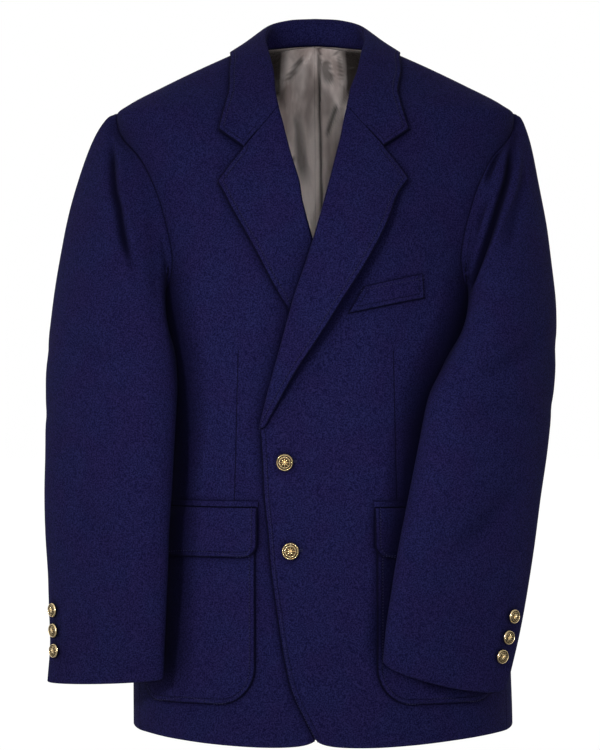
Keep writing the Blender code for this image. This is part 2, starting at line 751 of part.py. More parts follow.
def armhole_ring(side):
    """Points of the armhole seam, and how far round each is in degrees."""
    pairs = join(ARM_FRONT, ARM_UNDER, ARM_BACK)
    points = [on_back(side, c, z) for c, z in pairs]
    reach = [0.0]
    for one, two in zip(points, points[1:]):
        reach.append(reach[-1] + (two - one).length)
    half = reach[ARMHOLE_ROWS + SIDE_COLUMNS // 2]
    turns = []
    for value in reach:
        if value <= half:
            turns.append(180.0 * value / half)
        else:
            turns.append(180.0 + 180.0 * (value - half) / (reach[-1] - half))
    for point, turn in zip(points, turns):
        under = smoothstep(1.4 - abs(turn - 180.0) / 70.0)
        point.x += side * (SLEEVE_START + UNDERARM_START * under)
    return points[:-1], turns[:-1]


def clear_of_body(side, point, room):
    """The point moved out until it is clear of the body panels and pockets."""
    x = side * (point.x - swing(point.z))
    depth = front_depth if point.y < 0 else back_depth
    share = (abs(x) / half_width(point.z)) ** ROUND
    share += (abs(point.y) / depth(point.z)) ** ROUND
    share = share ** (1.0 / ROUND)
    if point.y < 0:
        room += lap(side, x, point.z)
        ends = smoothstep((point.z + 73.0) / 2.0) * smoothstep((-47.5 - point.z) / 2.0)
        flap = smoothstep((point.z + 57.5) / 2.0) * smoothstep((-47.5 - point.z) / 2.0)
        shown = 1.0 - smoothstep((girth(x, point.z) - 0.76) / 0.08)
        room += (0.30 * ends + 0.36 * flap) * shown
    reach = math.hypot(x, point.y) / share
    need = 1.0 + room * 1.25 / reach
    if share < need:
        x *= need / share
        point = Vector((side * x + swing(point.z), point.y * need / share, point.z))
    return point


def sleeve_rings(side):
    """Outer face of a sleeve as rings from the armhole to the cuff."""
    table = SLEEVES[side]
    places = list(range(len(table)))
    curves = [monotone(places, [row[k] for row in table]) for k in range(8)]
    start, turns = armhole_ring(side)
    rings = []
    for stop in SLEEVE_STOPS:
        share, top, under, back_x, back_y, tip_x, tip_y, half = [f(stop)
                                                                 for f in curves]
        centre = Vector(((back_x + tip_x) / 2, (back_y + tip_y) / 2))
        major = Vector(((back_x - tip_x) / 2, (back_y - tip_y) / 2))
        minor = Vector((major.y, -major.x)).normalized() * half
        ring = []
        for origin, turn in zip(start, turns):
            angle = math.radians(turn + SLEEVE_TURN)
            flat = centre + major * math.cos(angle) + minor * math.sin(angle)
            level = (top + under) / 2
            level += (top - under) / 2 * math.cos(math.radians(turn))
            point = Vector((side * flat.x, flat.y, level))
            point = origin.lerp(point, share)
            if stop > 0:
                point = clear_of_body(side, point, sleeve_room(stop))
            ring.append(point)
        rings.append(ring)
    return rings


def inner_rings(rings, thick):
    """The same rings moved in by the thickness of the cloth."""
    count = len(rings[0])
    inner = []
    for i, ring in enumerate(rings):
        above = rings[max(i - 1, 0)]
        below = rings[min(i + 1, len(rings) - 1)]
        middle = sum(ring, Vector()) / count
        row = []
        for j, point in enumerate(ring):
            across = ring[(j + 1) % count] - ring[j - 1]
            normal = across.cross(below[j] - above[j]).normalized()
            row.append(point - normal * thick)
        if sum((p - q).dot(p - middle) for p, q in zip(ring, row)) < 0:
            row = [p * 2 - q for p, q in zip(ring, row)]
        inner.append(row)
    return inner


def sleeve(side, word, home):
    rings = sleeve_rings(side)
    inner = inner_rings(rings, SLEEVE_WALL)
    count = len(rings[0])
    first = count - UNDER_SEAM_BACK
    top = [k % count for k in range(first, count + ARMHOLE_ROWS + 1)]
    under = list(range(ARMHOLE_ROWS, first + 1))
    made = []
    for name, picks in (("top_sleeve_", top), ("under_sleeve_", under)):
        shown = [[ring[k] for k in picks] for ring in rings]
        below = [[ring[k] for k in picks] for ring in inner]
        made.append(wall(name + word, shown, below, "wool", home))
    return made


# ---------------------------------------------------------------- lining and buttons

def lining(side, word, grid, home):
    """Back lining, hung inside the back panel."""
    rows = list(range(1, SEAM_ROWS, 2)) + list(range(SEAM_ROWS, len(grid)))
    picked = [grid[i] for i in rows]
    shown = laid(on_back, side, picked, -LINING_DEPTH)
    below = laid(on_back, side, picked, -LINING_DEPTH - LINING_WALL)
    return wall("lining_" + word, shown, below, "lining", home)


def button(name, shape, seat, facing, home):
    """Domed metal button on its shank, turned about its own axis."""
    mesh = bpy.data.meshes.new(name)
    points = [(r * shape["radius"] * CM, 0.0, h * shape["height"] * CM)
              for r, h in BUTTON_PROFILE]
    edges = [(i, i + 1) for i in range(len(points) - 1)]
    mesh.from_pydata(points, edges, [])
    made = bpy.data.objects.new(name, mesh)
    made.data.materials.append(material(name + "_brass", "brass"))
    turn = made.modifiers.new("turn", "SCREW")
    turn.steps = BUTTON_SEGMENTS
    turn.render_steps = BUTTON_SEGMENTS
    turn.use_merge_vertices = True
    turn.merge_threshold = 0.00001
    turn.use_normal_calculate = True
    made.location = (seat + facing * BUTTON_ROOM) * CM
    made.rotation_euler = facing.to_track_quat("Z", "Y").to_euler()
    home.objects.link(made)
    return made


def seat_on(piece, near, facing):
    """Where a line along facing through near meets the outside of a piece."""
    mesh = piece.data
    tree = BVHTree.FromPolygons([v.co / CM for v in mesh.vertices],
                                [p.vertices for p in mesh.polygons])
    facing = Vector(facing).normalized()
    start = Vector(near) + facing * 12.0
    place, normal, _, _ = tree.ray_cast(start, -facing)
    return place, normal


# ---------------------------------------------------------------- the blazer

def build():
    for thing in list(bpy.data.objects):
        bpy.data.objects.remove(thing, do_unlink=True)
    home = collection(NAME)
    fronts = front_grid()
    backs = back_grid()
    sides = side_grid()
    pieces = {}
    for side, word in ((1, "left"), (-1, "right")):
        pieces["front_" + word] = panel("front_" + word, on_front, side, fronts, home)
        panel("side_" + word, on_back, side, sides, home)
        panel("back_" + word, on_back, side, backs, home)
        lapel(side, home)
        pockets(side, word, home)
        lining(side, word, backs, home)
        pieces["sleeve_" + word] = sleeve(side, word, home)[0]
    collar(home)
    breast_welt(home)
    for number, (x, z) in enumerate(FRONT_BUTTONS, 1):
        c = girth(x, z)
        near = on_front(1, c, z)
        facing = body(1, c, z)[1]
        seat, normal = seat_on(pieces["front_left"], near, facing)
        button("front_button_%d" % number, FRONT_BUTTON, seat, normal, home)
    for side, word in ((1, "left"), (-1, "right")):
        for number, near in enumerate(CUFF_BUTTONS[side], 1):
            seat, normal = seat_on(pieces["sleeve_" + word], near, CUFF_FACING[side])
            button("cuff_button_%s_%d" % (word, number), CUFF_BUTTON, seat, normal,
                   home)


build()
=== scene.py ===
"""Single breasted navy blazer in wool hopsack, with satin lining and brass buttons."""
import math
from functools import partial

import bmesh
import bpy
import numpy as np
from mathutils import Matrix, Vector
from mathutils.bvhtree import BVHTree


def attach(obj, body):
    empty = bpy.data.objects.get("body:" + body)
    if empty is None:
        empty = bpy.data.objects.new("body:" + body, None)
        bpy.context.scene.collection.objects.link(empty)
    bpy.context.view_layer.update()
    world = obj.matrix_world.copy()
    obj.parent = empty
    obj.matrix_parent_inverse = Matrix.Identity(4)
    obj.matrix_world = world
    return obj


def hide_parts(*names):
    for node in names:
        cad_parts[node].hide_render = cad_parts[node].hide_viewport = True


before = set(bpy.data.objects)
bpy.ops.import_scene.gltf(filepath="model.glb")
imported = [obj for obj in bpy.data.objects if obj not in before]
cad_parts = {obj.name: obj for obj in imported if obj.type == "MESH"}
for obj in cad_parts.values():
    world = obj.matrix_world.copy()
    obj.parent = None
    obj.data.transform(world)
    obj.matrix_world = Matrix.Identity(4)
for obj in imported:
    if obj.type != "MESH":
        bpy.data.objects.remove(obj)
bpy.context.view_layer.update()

CM = 0.01
WORDS = {1: "left", -1: "right"}  # the wearer's sides
NO_EDGE = 9.0            # distance kept where there is no edge or dart
FAR_OFF = 1e9

# Cloth walls and the room between pieces, in centimetres.
WALL = 0.24
SLEEVE_WALL = 0.20
COLLAR_WALL = 0.24
POCKET_WALL = 0.18
FLAP_WALL = 0.20
TRIM_WALL = 0.14
LINING_WALL = 0.06
CLOTH = 0.20             # body panels, a little thinner than the solid's wall
SEAM = -0.008            # each edge runs this far over the seam
EDGE_ANGLES = (50, 0, -50)
# Wool inside a piece, before its lining begins.
HEM_WOOL, ARMHOLE_WOOL, UNDERARM_WOOL = 3.5, 1.5, 8.0
NECK_WOOL, FACING_WIDE = 3.0, 8.0
POCKET_STAND = 0.07
FLAP_STAND = 0.33
LINING_DEPTH, LINING_LOOSE = 0.62, 0.30

# Body form: half width and the depth in front of and behind the shoulder line.
ROUND = 2.25
BODY = (  # z, half width, front depth, back depth
    (1.8, 4.5, 0.2, 6.8),
    (0, 8.4, 1.8, 7.9),
    (-2, 12.8, 3.9, 8.9),
    (-4, 16.9, 5.6, 9.6),
    (-6, 20.7, None, None),
    (-7, 21.95, 7.8, 10.4),
    (-8, 22, None, None),
    (-10, None, 9.3, None),
    (-12, 21.6, None, 11.3),
    (-14, None, 10.9, None),
    (-18, 21, 12, 11.9),
    (-22, None, 12.7, None),
    (-24, 20.6, None, 12),
    (-29, 20.5, 13, 11.6),
    (-36, 19.9, 12.8, 10.7),
    (-44, 19.2, 12.5, 10),
    (-51, 19.6, 12.5, 10.5),
    (-60, 20.4, 12.8, 11.8),
    (-68, 20.9, 13.1, 12.3),
    (-76, 21, 13.4, 12.4),
)
SWING = ((-76, 0.9), (-45, 0.5), (-20, 0.1), (2, 0))
LIE = (  # z, how far the fronts lie to the wearer's right, whatever the body does
    (-77, 0.9), (-60, 0.68), (-42, 0.5), (-30, 0.4), (-21, 0.35),
    (-15, 0.42), (-11.5, 0.53), (-9, 0.56), (-5, 0.38), (-2.8, 0.15),
    (-0.8, 0), (2, 0),
)
LIE_MORE = {  # z, the same for one side only
    1: ((-77, 0), (-29, 0), (-23, -0.35), (-18.5, -0.5), (-11, -0.55),
        (-7, -0.3), (-3, 0), (2, 0)),
    -1: ((-77, 0), (-33, 0), (-26, 0.3), (-21, 0.5), (-17.8, 0.42),
         (-15, 0.08), (-12.5, 0.06), (-8.5, -0.08), (-5, 0), (2, 0)),
}
LIE_FADE = (  # z, girth where that begins to fade, girth where it has gone
    (-77, 0.45, 0.8), (-44, 0.45, 0.8), (-32, 0.2, 0.48), (2, 0.2, 0.48),
)
LAP = (
    (-77, 0.38), (-50, 0.38), (-42, 0.72), (-37, 0.92), (-22, 0.92),
    (-14, 0.4), (-8, 0), (2, 0),
)
LAP_FULL_X = 5
LAP_END_X = 14

# Pattern lines of a front, as x and z, and seams as girth c and z.
BREAK_X, BREAK_Z, ROLL_SLOPE = -5.75, -42.1, 0.273
ROLL_TOP_Z = -5
GORGE_Z = -7.2
FRONT_EDGE = (
    (-0.2, -74.4), (-1.6, -71.7), (-2.55, -69.7), (-3.4, -66.1), (-4.25, -60.5),
    (-4.8, -56.5), (-5.1, -52.5), (-5.5, -48.4), (BREAK_X, BREAK_Z),
)
FRONT_HEM = ((-0.2, -74.4), (0.5, -75.1), (2.4, -75.5), (6, -75.6), (11, -75.4),
             (15, -75.1), (18.5, -74.8))
SIDE_SEAMS = (0.8, 1.2)
HEM_Z = ((0.8, -74.7), (1, -74.4), (1.2, -74.3), (1.6, -74.2), (2, -74.2))
SHOULDER_TIP_Z = -6.9
NECK_POINT_Z = 0.1
ARMHOLE_FRONT = ((21.5, -9.4), (19.4, -12), (18, -14.5), (17, -17),
                 (16, -20.7), (15.6, -23.8), (16.3, -26.6), (18.3, -28.3))
ARMHOLE_BOTTOM = ((0.8, -28.7), (1, -28.8), (1.2, -28.2))
ARMHOLE_BACK = ((19, -25), (18.6, -21), (18.7, -17), (19.4, -13),
                (20.6, -9.5))

# Cells between neighbouring pattern points, along and across the cloth.
ROW_CELLS = 8
COLUMN_CELLS = 10
RING_CELLS = 6
EDGE_ROWS = 9 * ROW_CELLS
ROLL_ROWS = 9 * ROW_CELLS
SEAM_ROWS = 14 * ROW_CELLS
ARMHOLE_ROWS = 9
SIDE_COLUMNS = 4
SHOULDER_COLUMNS = 8
FRONT_NECK_STOPS = (7, 6.5, 6, 5.5, 5, 4)
BACK_NECK_STOPS = (0, 1, 2, 2.5, 3, 3.5, 4)
LAPEL_ROWS = 13
LAPEL_TOP = 54           # column where a lapel's notch begins

# Collar, from the middle of the back (stop 0) to the shoulder (4) and the front (6).
COLLAR = (  # seam c, seam z, fold x, y, z, edge c, edge z, size of the fold
    (2, 1.5, 0, 7.5, 4.42, 2, 0.3, 0.62),
    (1.75, 1.35, 2.7, 7.1, 4.24, 1.75, 0.15, 0.62),
    (1.45, 0.95, 4.65, 5.6, 3.62, 1.48, -0.2, 0.62),
    (1.2, 0.45, 5.4, 3, 2.6, 1.22, -0.4, 0.6),
    (1, 0.1, 5.55, 0.3, 1.2, 1, -0.4, 0.56),
    (0.55, -1.2, 5.15, -2.2, -0.45, 0.59, -1.3, 0.5),
    (0.27, -2.8, 4.65, -4.6, -2.72, 0.42, -2.8, 0.42),
)
COLLAR_EDGE_7 = (9.15, -5.5)
COLLAR_TIP = (10.1, -9.5)
NOTCH = (7.15, -11.5)
LAPEL_TIP = {1: (9.75, -15), -1: (10.2, -15.2)}
LAPEL_EDGE = {  # x, z from the point to the end; the cloth has crept a little
    1: (LAPEL_TIP[1], (8.4, -16.8), (7.1, -20), (5.85, -22.5), (3.9, -26.2),
        (1.5, -30.2), (-0.55, -33.3), (-1.8, -35.2), (-3.15, -37.6), (-4.35, -39.8),
        (-5.2, -41.4)),
    -1: (LAPEL_TIP[-1], (8.95, -16.9), (7.1, -20), (5.72, -22.5), (4, -26.2),
         (1.85, -30.2), (-0.17, -33.3), (-1.7, -35.2), (-3.3, -37.6), (-4.5, -39.8),
         (-5.2, -41.4)),
}
LAPEL_END_Z = -41.5
FOLD_RADIUS = 0.24
FALL_HEIGHT = 0.25       # middle of the collar's edge over the body
COLLAR_OPEN = 30         # columns of the collar's front ends that lie free
LAPEL_EDGE_RISE = {1: 0.85, -1: 0.12}
ROLL_ANGLES = (-90, -120, -150, -180, -225, -270)

# Pockets, as x, girth and z on a front.
PATCH = {"x": 6.45, "c": 0.74, "radius": 4, "top": -51, "bottom": -71.1}
FLAP = {"x": 6.2, "c": 0.76, "radius": 1.5, "top": -50.1, "bottom": -55.4}
BAND = {"x": 6.1, "c": 0.765, "radius": 0, "top": -49.4, "bottom": -50}
POCKET_EVEN = 0.012
PATCH_END, FLAP_END, POCKETS_TOP = -73, -57.5, -47.5  # where a sleeve makes room
WELT = ((3.5, -29.4), (11.5, -27.7), (11.3, -25.1), (5.1, -26.6))
DART = ((8.25, -32.3), (8.45, -40), (8.7, -49.6))
DART_DEPTH, DART_WIDTH = 0.07, 0.32

# Sleeves: rings between a back tip and a front tip, from the armhole to the cuff.
SLEEVES = {
    -1: (  # share, top z, under z, back out, back y, front out, front y, half depth
        (0, -9, -33.8, 26, 4.5, 15.5, -8.5, 6.5),
        (0.12, -9, -33.8, 26, 4.5, 15.5, -8.5, 6.5),
        (0.3, -13, -33.5, 27.3, 3, 15, -9.8, 6.3),
        (0.52, -18.5, -33.4, 28.2, 1, 14.9, -10.6, 6),
        (0.76, -24.5, -33.8, 28.8, -1.2, 14.9, -11.2, 5.3),
        (0.93, -30.5, -35.4, 29, -3, 15, -11.6, 4.7),
        (1, -37, -38.5, 29.1, -4.2, 15.1, -12, 4.3),
        (1, -44, -44.6, 29.15, -5, 15.4, -12.3, 3.9),
        (1, -51, -51, 29.3, -5.4, 15.7, -12.5, 3.4),
        (1, -58, -58, 28.9, -5.8, 16, -12.7, 3),
        (1, -64.5, -64.3, 28.75, -6.4, 16.2, -12.2, 2.6),
        (1, -69.2, -68.3, 29.05, -7, 16.3, -11.6, 1.9),
    ),
    1: (
        (0, -9, -33.8, 25, 4.5, 15.5, -8.5, 6.5),
        (0.12, -9, -33.8, 25, 4.5, 15.5, -8.5, 6.5),
        (0.3, -13, -33.5, 24.8, 3, 15.2, -10, 6.3),
        (0.52, -18.5, -33.4, 24.5, 1, 14.9, -11.5, 6),
        (0.76, -24.5, -33.8, 25.3, -1.5, 14.6, -12.8, 5.4),
        (0.93, -30.5, -35.4, 25.8, -3.6, 13.9, -13.8, 4.8),
        (1, -37, -38.5, 25.5, -5.4, 12.4, -14.6, 4.3),
        (1, -44, -44.6, 24.8, -7, 10.9, -15.4, 3.9),
        (1, -51, -51, 23.9, -8.4, 9.5, -16, 3.4),
        (1, -57.5, -57, 22.95, -9.6, 8.3, -16.4, 2.9),
        (1, -63.3, -62.2, 21.9, -10.8, 7.5, -16.6, 2.4),
        (1, -69.66, -65.7, 20.4, -11.6, 7.1, -16.5, 1.9),
    ),
}
SLEEVE_STOPS = (0, 0.5, 1, 1.5, 2, 2.5, 3, 3.5, 4, 5, 6, 7, 8, 9, 10, 11)
SLEEVE_CELLS = 10
SLEEVE_TURN = 40
UNDER_SEAM_BACK = 3
CUFF_CALM = 13.6         # the folds calm down from here to the last stop
UNDERARM_START = 0.03
HEAD_TUCK = ((0.42, 0.34), (0.3, 0.22), (0.14, 0.08))  # deep, inwards
SLEEVE_ROOM = ((0, 0.05), (0.5, 0.3), (1, 0.36), (2, 0.38), (4, 0.4),
               (6, 0.42), (11, 0.45))

# Buttons and stitching.
STITCH_INSET, WELT_INSET, STITCH_LIFT = 0.62, 0.45, 0.004
EDGE_STITCH = (0.0032, 0.0019, 0.0006, 0.0004)  # pitch, length, width, height, m
HOLE_STITCH = (0.0006, 0.0006, 0.0016, 0.0006)
HOLE_LENGTH, HOLE_HALF = 1.35, 0.075
BUTTON_PROFILE = ((0.86, 0.36), (0.26, 0.3), (0.26, 0))  # below the face
FRONT_BUTTON = {"radius": 0.9, "height": 0.58}
CUFF_BUTTON = {"radius": 0.75, "height": 0.5}
BUTTON_ROOM = 0.03
FRONT_BUTTONS = ((-3.2, -45.2), (-2.66, -54.7))
CUFF_BUTTONS = {
    -1: ((-28.9, -8.8, -61.3), (-28.9, -8.9, -63.5), (-28.9, -9, -65.7)),
    1: ((20.8, -12.6, -61.6), (20.2, -12.9, -63.8), (19.5, -13.2, -65.8)),
}
CUFF_FACING = {-1: (-0.82, -0.57, 0), 1: (0.55, -0.83, 0)}

# Folds of the sleeves by view: line in it, half width, depth (below 0 a ridge), and
# how much wider the side that lies left of a line drawn downwards is.
SLEEVE_FOLDS = {
    1: {
        "front": (
            (((22, -7.6), (21.6, -10.9), (21.1, -14), (20.4, -16.2), (18.7, -20.9),
             (17, -25), (15.6, -28.4), (14, -32.4)), 0.36, 0.74, 1.25),
            (((22.5, -9.4), (21.9, -15.1), (20.6, -18.3), (19.2, -22), (17.8, -25.6)),
             0.4, -0.3, 1),
            (((20.4, -10.6), (19.3, -13.1), (18.3, -15.6)), 0.26, 0.34, 1.3),
            (((18.8, -16.4), (17.9, -18.6), (17, -21.4)), 0.26, 0.22, 1.3),
            (((23.4, -11.6), (22.7, -14.8), (21.9, -17.6), (21.1, -20.7),
             (20.2, -24.6)), 0.7, 0.28, 1.3),
            (((24.6, -31.2), (20.4, -34.3), (15.6, -36.3)), 1.3, 0.26, 1),
            (((24.4, -40.4), (19.7, -39.2), (13.6, -41)), 1.1, 0.18, 1),
            (((22.9, -45), (18, -51.2), (11.4, -56.6)), 1.6, 0.22, 1),
        ),
        "outer": (
            (((3.5, -13), (2.4, -20), (0.2, -27.5)), 1, 0.22, 1.2),
            (((-9.5, -31), (-5, -33.8), (-1, -36.6)), 1.2, 0.13, 1.2),
            (((-11.5, -38.6), (-7, -39.6), (-4.6, -42.4)), 0.95, 0.1, 1),
        ),
        "back": (
            (((22.4, -12.6), (21.6, -20), (22.3, -27.4)), 1, 0.22, 1.2),
            (((24.6, -33), (20.6, -36.2), (16, -36.8)), 1.1, 0.24, 1.2),
            (((24, -41.8), (19.6, -41), (14, -43.6)), 0.95, 0.24, 1),
        ),
        "inner": (
            (((-12.6, -37.4), (-9, -36), (-6, -33.6)), 1, 0.22, 1),
        ),
    },
    -1: {
        "front": (
            (((22.6, -8.6), (21.9, -15.3), (21.3, -17.5), (20.6, -21.3), (19, -26.4)),
             0.44, 0.58, 0.8),
            (((21.6, -11.4), (20.9, -15.6), (20.1, -19.4), (19, -23)), 0.45, -0.2, 1),
            (((18, -17), (17.4, -23.8), (16.8, -31.1)), 0.7, 0.18, 0.8),
            (((27.6, -31), (23.6, -33.4), (18.6, -34.9)), 1.3, 0.2, 1),
            (((26.9, -38.6), (22.5, -37.6), (17.6, -38.9)), 1.1, 0.14, 1),
            (((27.3, -47.2), (23, -52.6), (19.4, -58.4)), 1.6, 0.17, 1),
        ),
        "outer": (
            (((3.2, -13.4), (2.6, -20.6), (0, -28.4)), 1.1, 0.3, 1.2),
            (((-7.6, -31.6), (-3.4, -34.6), (0.4, -35.6)), 1.2, 0.12, 1.2),
            (((-9.4, -39.4), (-5.6, -40.4), (-3.4, -43.6)), 0.9, 0.1, 1),
        ),
        "back": (
            (((23.6, -12.2), (23, -19.4), (24.1, -27)), 1, 0.22, 1.2),
            (((27.8, -33.4), (23.2, -36.8), (18.4, -36.4)), 1.1, 0.22, 1.2),
            (((27.4, -42.6), (22.8, -41.6), (17.2, -44.6)), 0.95, 0.22, 1),
        ),
        "inner": (
            (((-10.4, -38), (-7.4, -36.4), (-4.4, -34.2)), 1, 0.2, 1),
        ),
    },
}
# Folds of the body: side, view, line, half width, depth.
BODY_FOLDS = (
    (1, "front", ((13.4, -12.2), (14.6, -18), (14.9, -25)), 1.1, 0.12),
    (-1, "front", ((13, -11.6), (14.2, -18.4), (14.6, -26)), 1.2, 0.12),
    (-1, "front", ((8.6, -9.4), (7.9, -15), (8.8, -20)), 1.3, 0.08),
    (1, "front", ((1, -46.2), (6, -44.6), (11.6, -42.6)), 1.5, 0.07),
    (-1, "front", ((15.6, -40), (12, -43.4), (6.4, -45.2)), 1.6, 0.07),
    (1, "front", ((1.6, -57), (3.4, -64), (4.6, -72)), 1.5, 0.07),
    (-1, "front", ((1, -58), (2, -65), (1.6, -73)), 1.6, 0.07),
    (1, "back", ((16.8, -12), (14.2, -18), (13.6, -26)), 1.2, 0.24),
    (-1, "back", ((16.4, -12.8), (13.8, -19.6), (13.9, -27)), 1.3, 0.22),
    (1, "back", ((1.6, -38.4), (6, -41.6), (11.8, -42.4)), 1.1, 0.18),
    (-1, "back", ((2.4, -39.6), (7, -42.4), (12.6, -41.4)), 1.2, 0.16),
    (1, "back", ((3.6, -52), (4.4, -62), (4, -73)), 1.6, 0.16),
    (-1, "back", ((4.8, -54), (5.2, -63), (6, -73.6)), 1.5, 0.16),
    (1, "back", ((2.2, 0.2), (4.6, -3.2), (8.6, -5.4)), 0.9, 0.1),
    (-1, "back", ((2, 0), (4.9, -3.4), (9.2, -5.2)), 0.95, 0.1),
    (1, "outer", ((-5, -41), (0, -43.6), (5, -42.6)), 1.2, 0.16),
    (-1, "outer", ((-4, -42.6), (1, -44.2), (6, -41.8)), 1.2, 0.16),
    (1, "outer", ((1, -52), (1.6, -62), (0.6, -73)), 1.4, 0.14),
    (-1, "outer", ((2, -50), (1.2, -61), (2, -73)), 1.4, 0.14),
)
# Beside the lit band of the lining, shade is painted dark brown.
LIT_X, LIT_HALF, LIT_Z = -0.15, 3.8, -3.9    # the lining in the light of the neck
# Folds of the back lining: side, line as x and z, half width, depth, and how much
# wider its one side is.
LINING_FOLDS = (
    (-1, ((1.2, 1.1), (1.5, 0.4), (2.1, -0.3), (2.8, -1.5), (3.6, -2.8)),
     0.42, 0.42, 1.5),
    (-1, ((2.1, 1.6), (2.9, 0), (3.8, -1.8)), 0.3, -0.32, 1),
    (-1, ((0.8, 1.2), (1.3, -1.2), (1.9, -4.2)), 0.45, -0.26, 1),
    (-1, ((4, 1.4), (3.9, -0.6), (4.3, -2.4)), 0.24, 0.34, 1),
    (-1, ((2.9, -11), (2.1, -11.2), (1, -10.9)), 0.13, 0.3, 1.6),
    (-1, ((2.4, -4.8), (1.9, -9), (1.2, -14.8)), 0.75, 0.26, 1.3),
    (-1, ((3.6, -3.6), (3.1, -6.4), (2.6, -9.4)), 0.5, -0.28, 1),
    (-1, ((0.5, -5.6), (0.6, -9), (0.3, -13)), 0.4, -0.2, 1),
    (1, ((1.5, 0.4), (1.7, -1.2), (2.3, -2.7)), 0.62, 0.42, 1.5),
    (1, ((2.8, 1.3), (3, -0.4), (3.2, -2.9)), 0.38, 0.3, 1.1),
    (1, ((2.3, 1.4), (2.3, -0.4), (2.6, -2.6)), 0.36, -0.22, 1),
    (1, ((3.6, 1.9), (2.7, 1), (1.6, 0.3)), 0.15, 0.32, 1.5),
    (1, ((2.9, -4.4), (2.1, -6.5), (1.2, -9.2)), 0.26, 0.38, 1.5),
    (1, ((3.5, -3.4), (2.8, -5.8), (2.2, -8.6)), 0.36, -0.28, 1),
    (1, ((1.6, -2.8), (1.3, -4.6), (1, -6.8)), 0.4, -0.26, 1),
    (1, ((0.62, 12), (0.64, -4), (0.75, -9), (1.15, -24)), 0.15, 0.6, 1.9),
    (1, ((0.3, 2.2), (0.34, -4), (0.45, -9), (0.75, -16.5)), 0.3, -0.16, 1),
)


# ---------------- curves and tables

def monotone(xs, ys):
    """Smooth curve through a table column that never overshoots it."""
    xs = np.array(xs, float)
    ys = np.array(ys, float)
    step = np.diff(xs)
    rise = np.diff(ys) / step
    slope = np.zeros(len(xs))
    slope[0] = rise[0]
    slope[-1] = rise[-1]
    for i in range(1, len(rise)):
        if rise[i - 1] * rise[i] > 0.0:
            first = 2.0 * step[i] + step[i - 1]
            second = step[i] + 2.0 * step[i - 1]
            slope[i] = (first + second) / (first / rise[i - 1] + second / rise[i])

    def value(x):
        x = np.clip(x, xs[0], xs[-1])
        i = np.clip(np.searchsorted(xs, x) - 1, 0, len(step) - 1)
        h = step[i]
        t = (x - xs[i]) / h
        return ((1 + 2 * t) * (1 - t) ** 2 * ys[i] + t * (1 - t) ** 2 * h * slope[i]
                + t * t * (3 - 2 * t) * ys[i + 1] + t * t * (t - 1) * h * slope[i + 1])

    return value


def column(table, index):
    rows = sorted(row for row in table if row[index] is not None)
    return monotone([row[0] for row in rows], [row[index] for row in rows])


half_width = column(BODY, 1)
front_depth = column(BODY, 2)
back_depth = column(BODY, 3)
swing = column(SWING, 1)
lie = column(LIE, 1)
lie_more = {side: column(LIE_MORE[side], 1) for side in (1, -1)}
lie_start = column(LIE_FADE, 1)
lie_end = column(LIE_FADE, 2)
lap_height = column(LAP, 1)
hem_height = column(HEM_Z, 1)
sleeve_room = column(SLEEVE_ROOM, 1)


def smoothstep(t):
    t = np.clip(t, 0.0, 1.0)
    return t * t * (3.0 - 2.0 * t)


def unit(vectors):
    return vectors / np.maximum(np.linalg.norm(vectors, axis=-1, keepdims=True), 1e-12)


def at_stop(values, stops):
    """Smooth values between whole stops of a list of points."""
    values = np.array(values, float)
    stops = np.atleast_1d(stops)
    padded = np.concatenate([[2 * values[0] - values[1]], values,
                             [2 * values[-1] - values[-2]]])
    i = np.clip(stops.astype(int), 0, len(values) - 2)
    t = (stops - i).reshape((-1,) + (1,) * (values.ndim - 1))
    p0, p1, p2, p3 = padded[i], padded[i + 1], padded[i + 2], padded[i + 3]
    return 0.5 * (2 * p1 + (p2 - p0) * t + (2 * p0 - 5 * p1 + 4 * p2 - p3) * t * t
                  + (3 * p1 - p0 - 3 * p2 + p3) * t ** 3)


def spline(points, per_span=12):
    """Dense smooth curve through points."""
    count = (len(points) - 1) * per_span
    return at_stop(points, np.arange(count + 1) / per_span)


def between(values, places):
    """Straight values between whole places of a list of points or numbers."""
    values = np.array(values, float)
    places = np.asarray(places, float)
    low = np.clip(np.floor(places).astype(int), 0, len(values) - 2)
    share = (places - low).reshape((-1,) + (1,) * (values.ndim - 1))
    return values[low] * (1 - share) + values[low + 1] * share


# ---------------- the body form

def power(base, exponent):
    """Power of a number that keeps its sign."""
    return np.copysign(np.abs(base) ** exponent, base)


def growth(curve, z):
    """How fast a curve of the body grows with height."""
    return (curve(z + 0.05) - curve(z - 0.05)) / 0.1


def girth(x, z):
    share = np.minimum(np.abs(x) / half_width(z), 1.0)
    return np.copysign(np.arcsin(share ** (ROUND / 2.0)) * 2.0 / math.pi, x)


def width_at(c, z):
    return half_width(z) * power(np.sin(c * math.pi / 2.0), 2.0 / ROUND)


def lain(side, c, z):
    """Girth coordinate once the fronts lie a little to the wearer's right."""
    start, end = lie_start(z), lie_end(z)
    fade = 1.0 - smoothstep((c - start) / (end - start))
    shift = (lie(z) + lie_more[side](z)) * fade
    moved = girth(width_at(np.minimum(c, 1.0), z) - side * shift, z)
    return np.where(c >= end, c, moved)


def body(side, c, z):
    """Points of the body form and their outward directions."""
    c, z = np.broadcast_arrays(np.asarray(c, float), np.asarray(z, float))
    angle = lain(side, c, z) * math.pi / 2.0
    front = np.cos(angle) >= 0.0
    a = half_width(z)
    b = np.where(front, front_depth(z), back_depth(z))
    u = power(np.sin(angle), 2.0 / ROUND)
    v = -power(np.cos(angle), 2.0 / ROUND)
    grow_b = np.where(front, growth(front_depth, z), growth(back_depth, z))
    gx = power(u, ROUND - 1.0) / a
    gy = power(v, ROUND - 1.0) / b
    gz = (-np.abs(u) ** ROUND * growth(half_width, z) / a
          - np.abs(v) ** ROUND * grow_b / b - gx * side * growth(swing, z))
    normal = unit(np.stack([gx * side, gy, gz], axis=-1))
    return np.stack([side * a * u + swing(z), b * v, z + 0.0 * a], axis=-1), normal


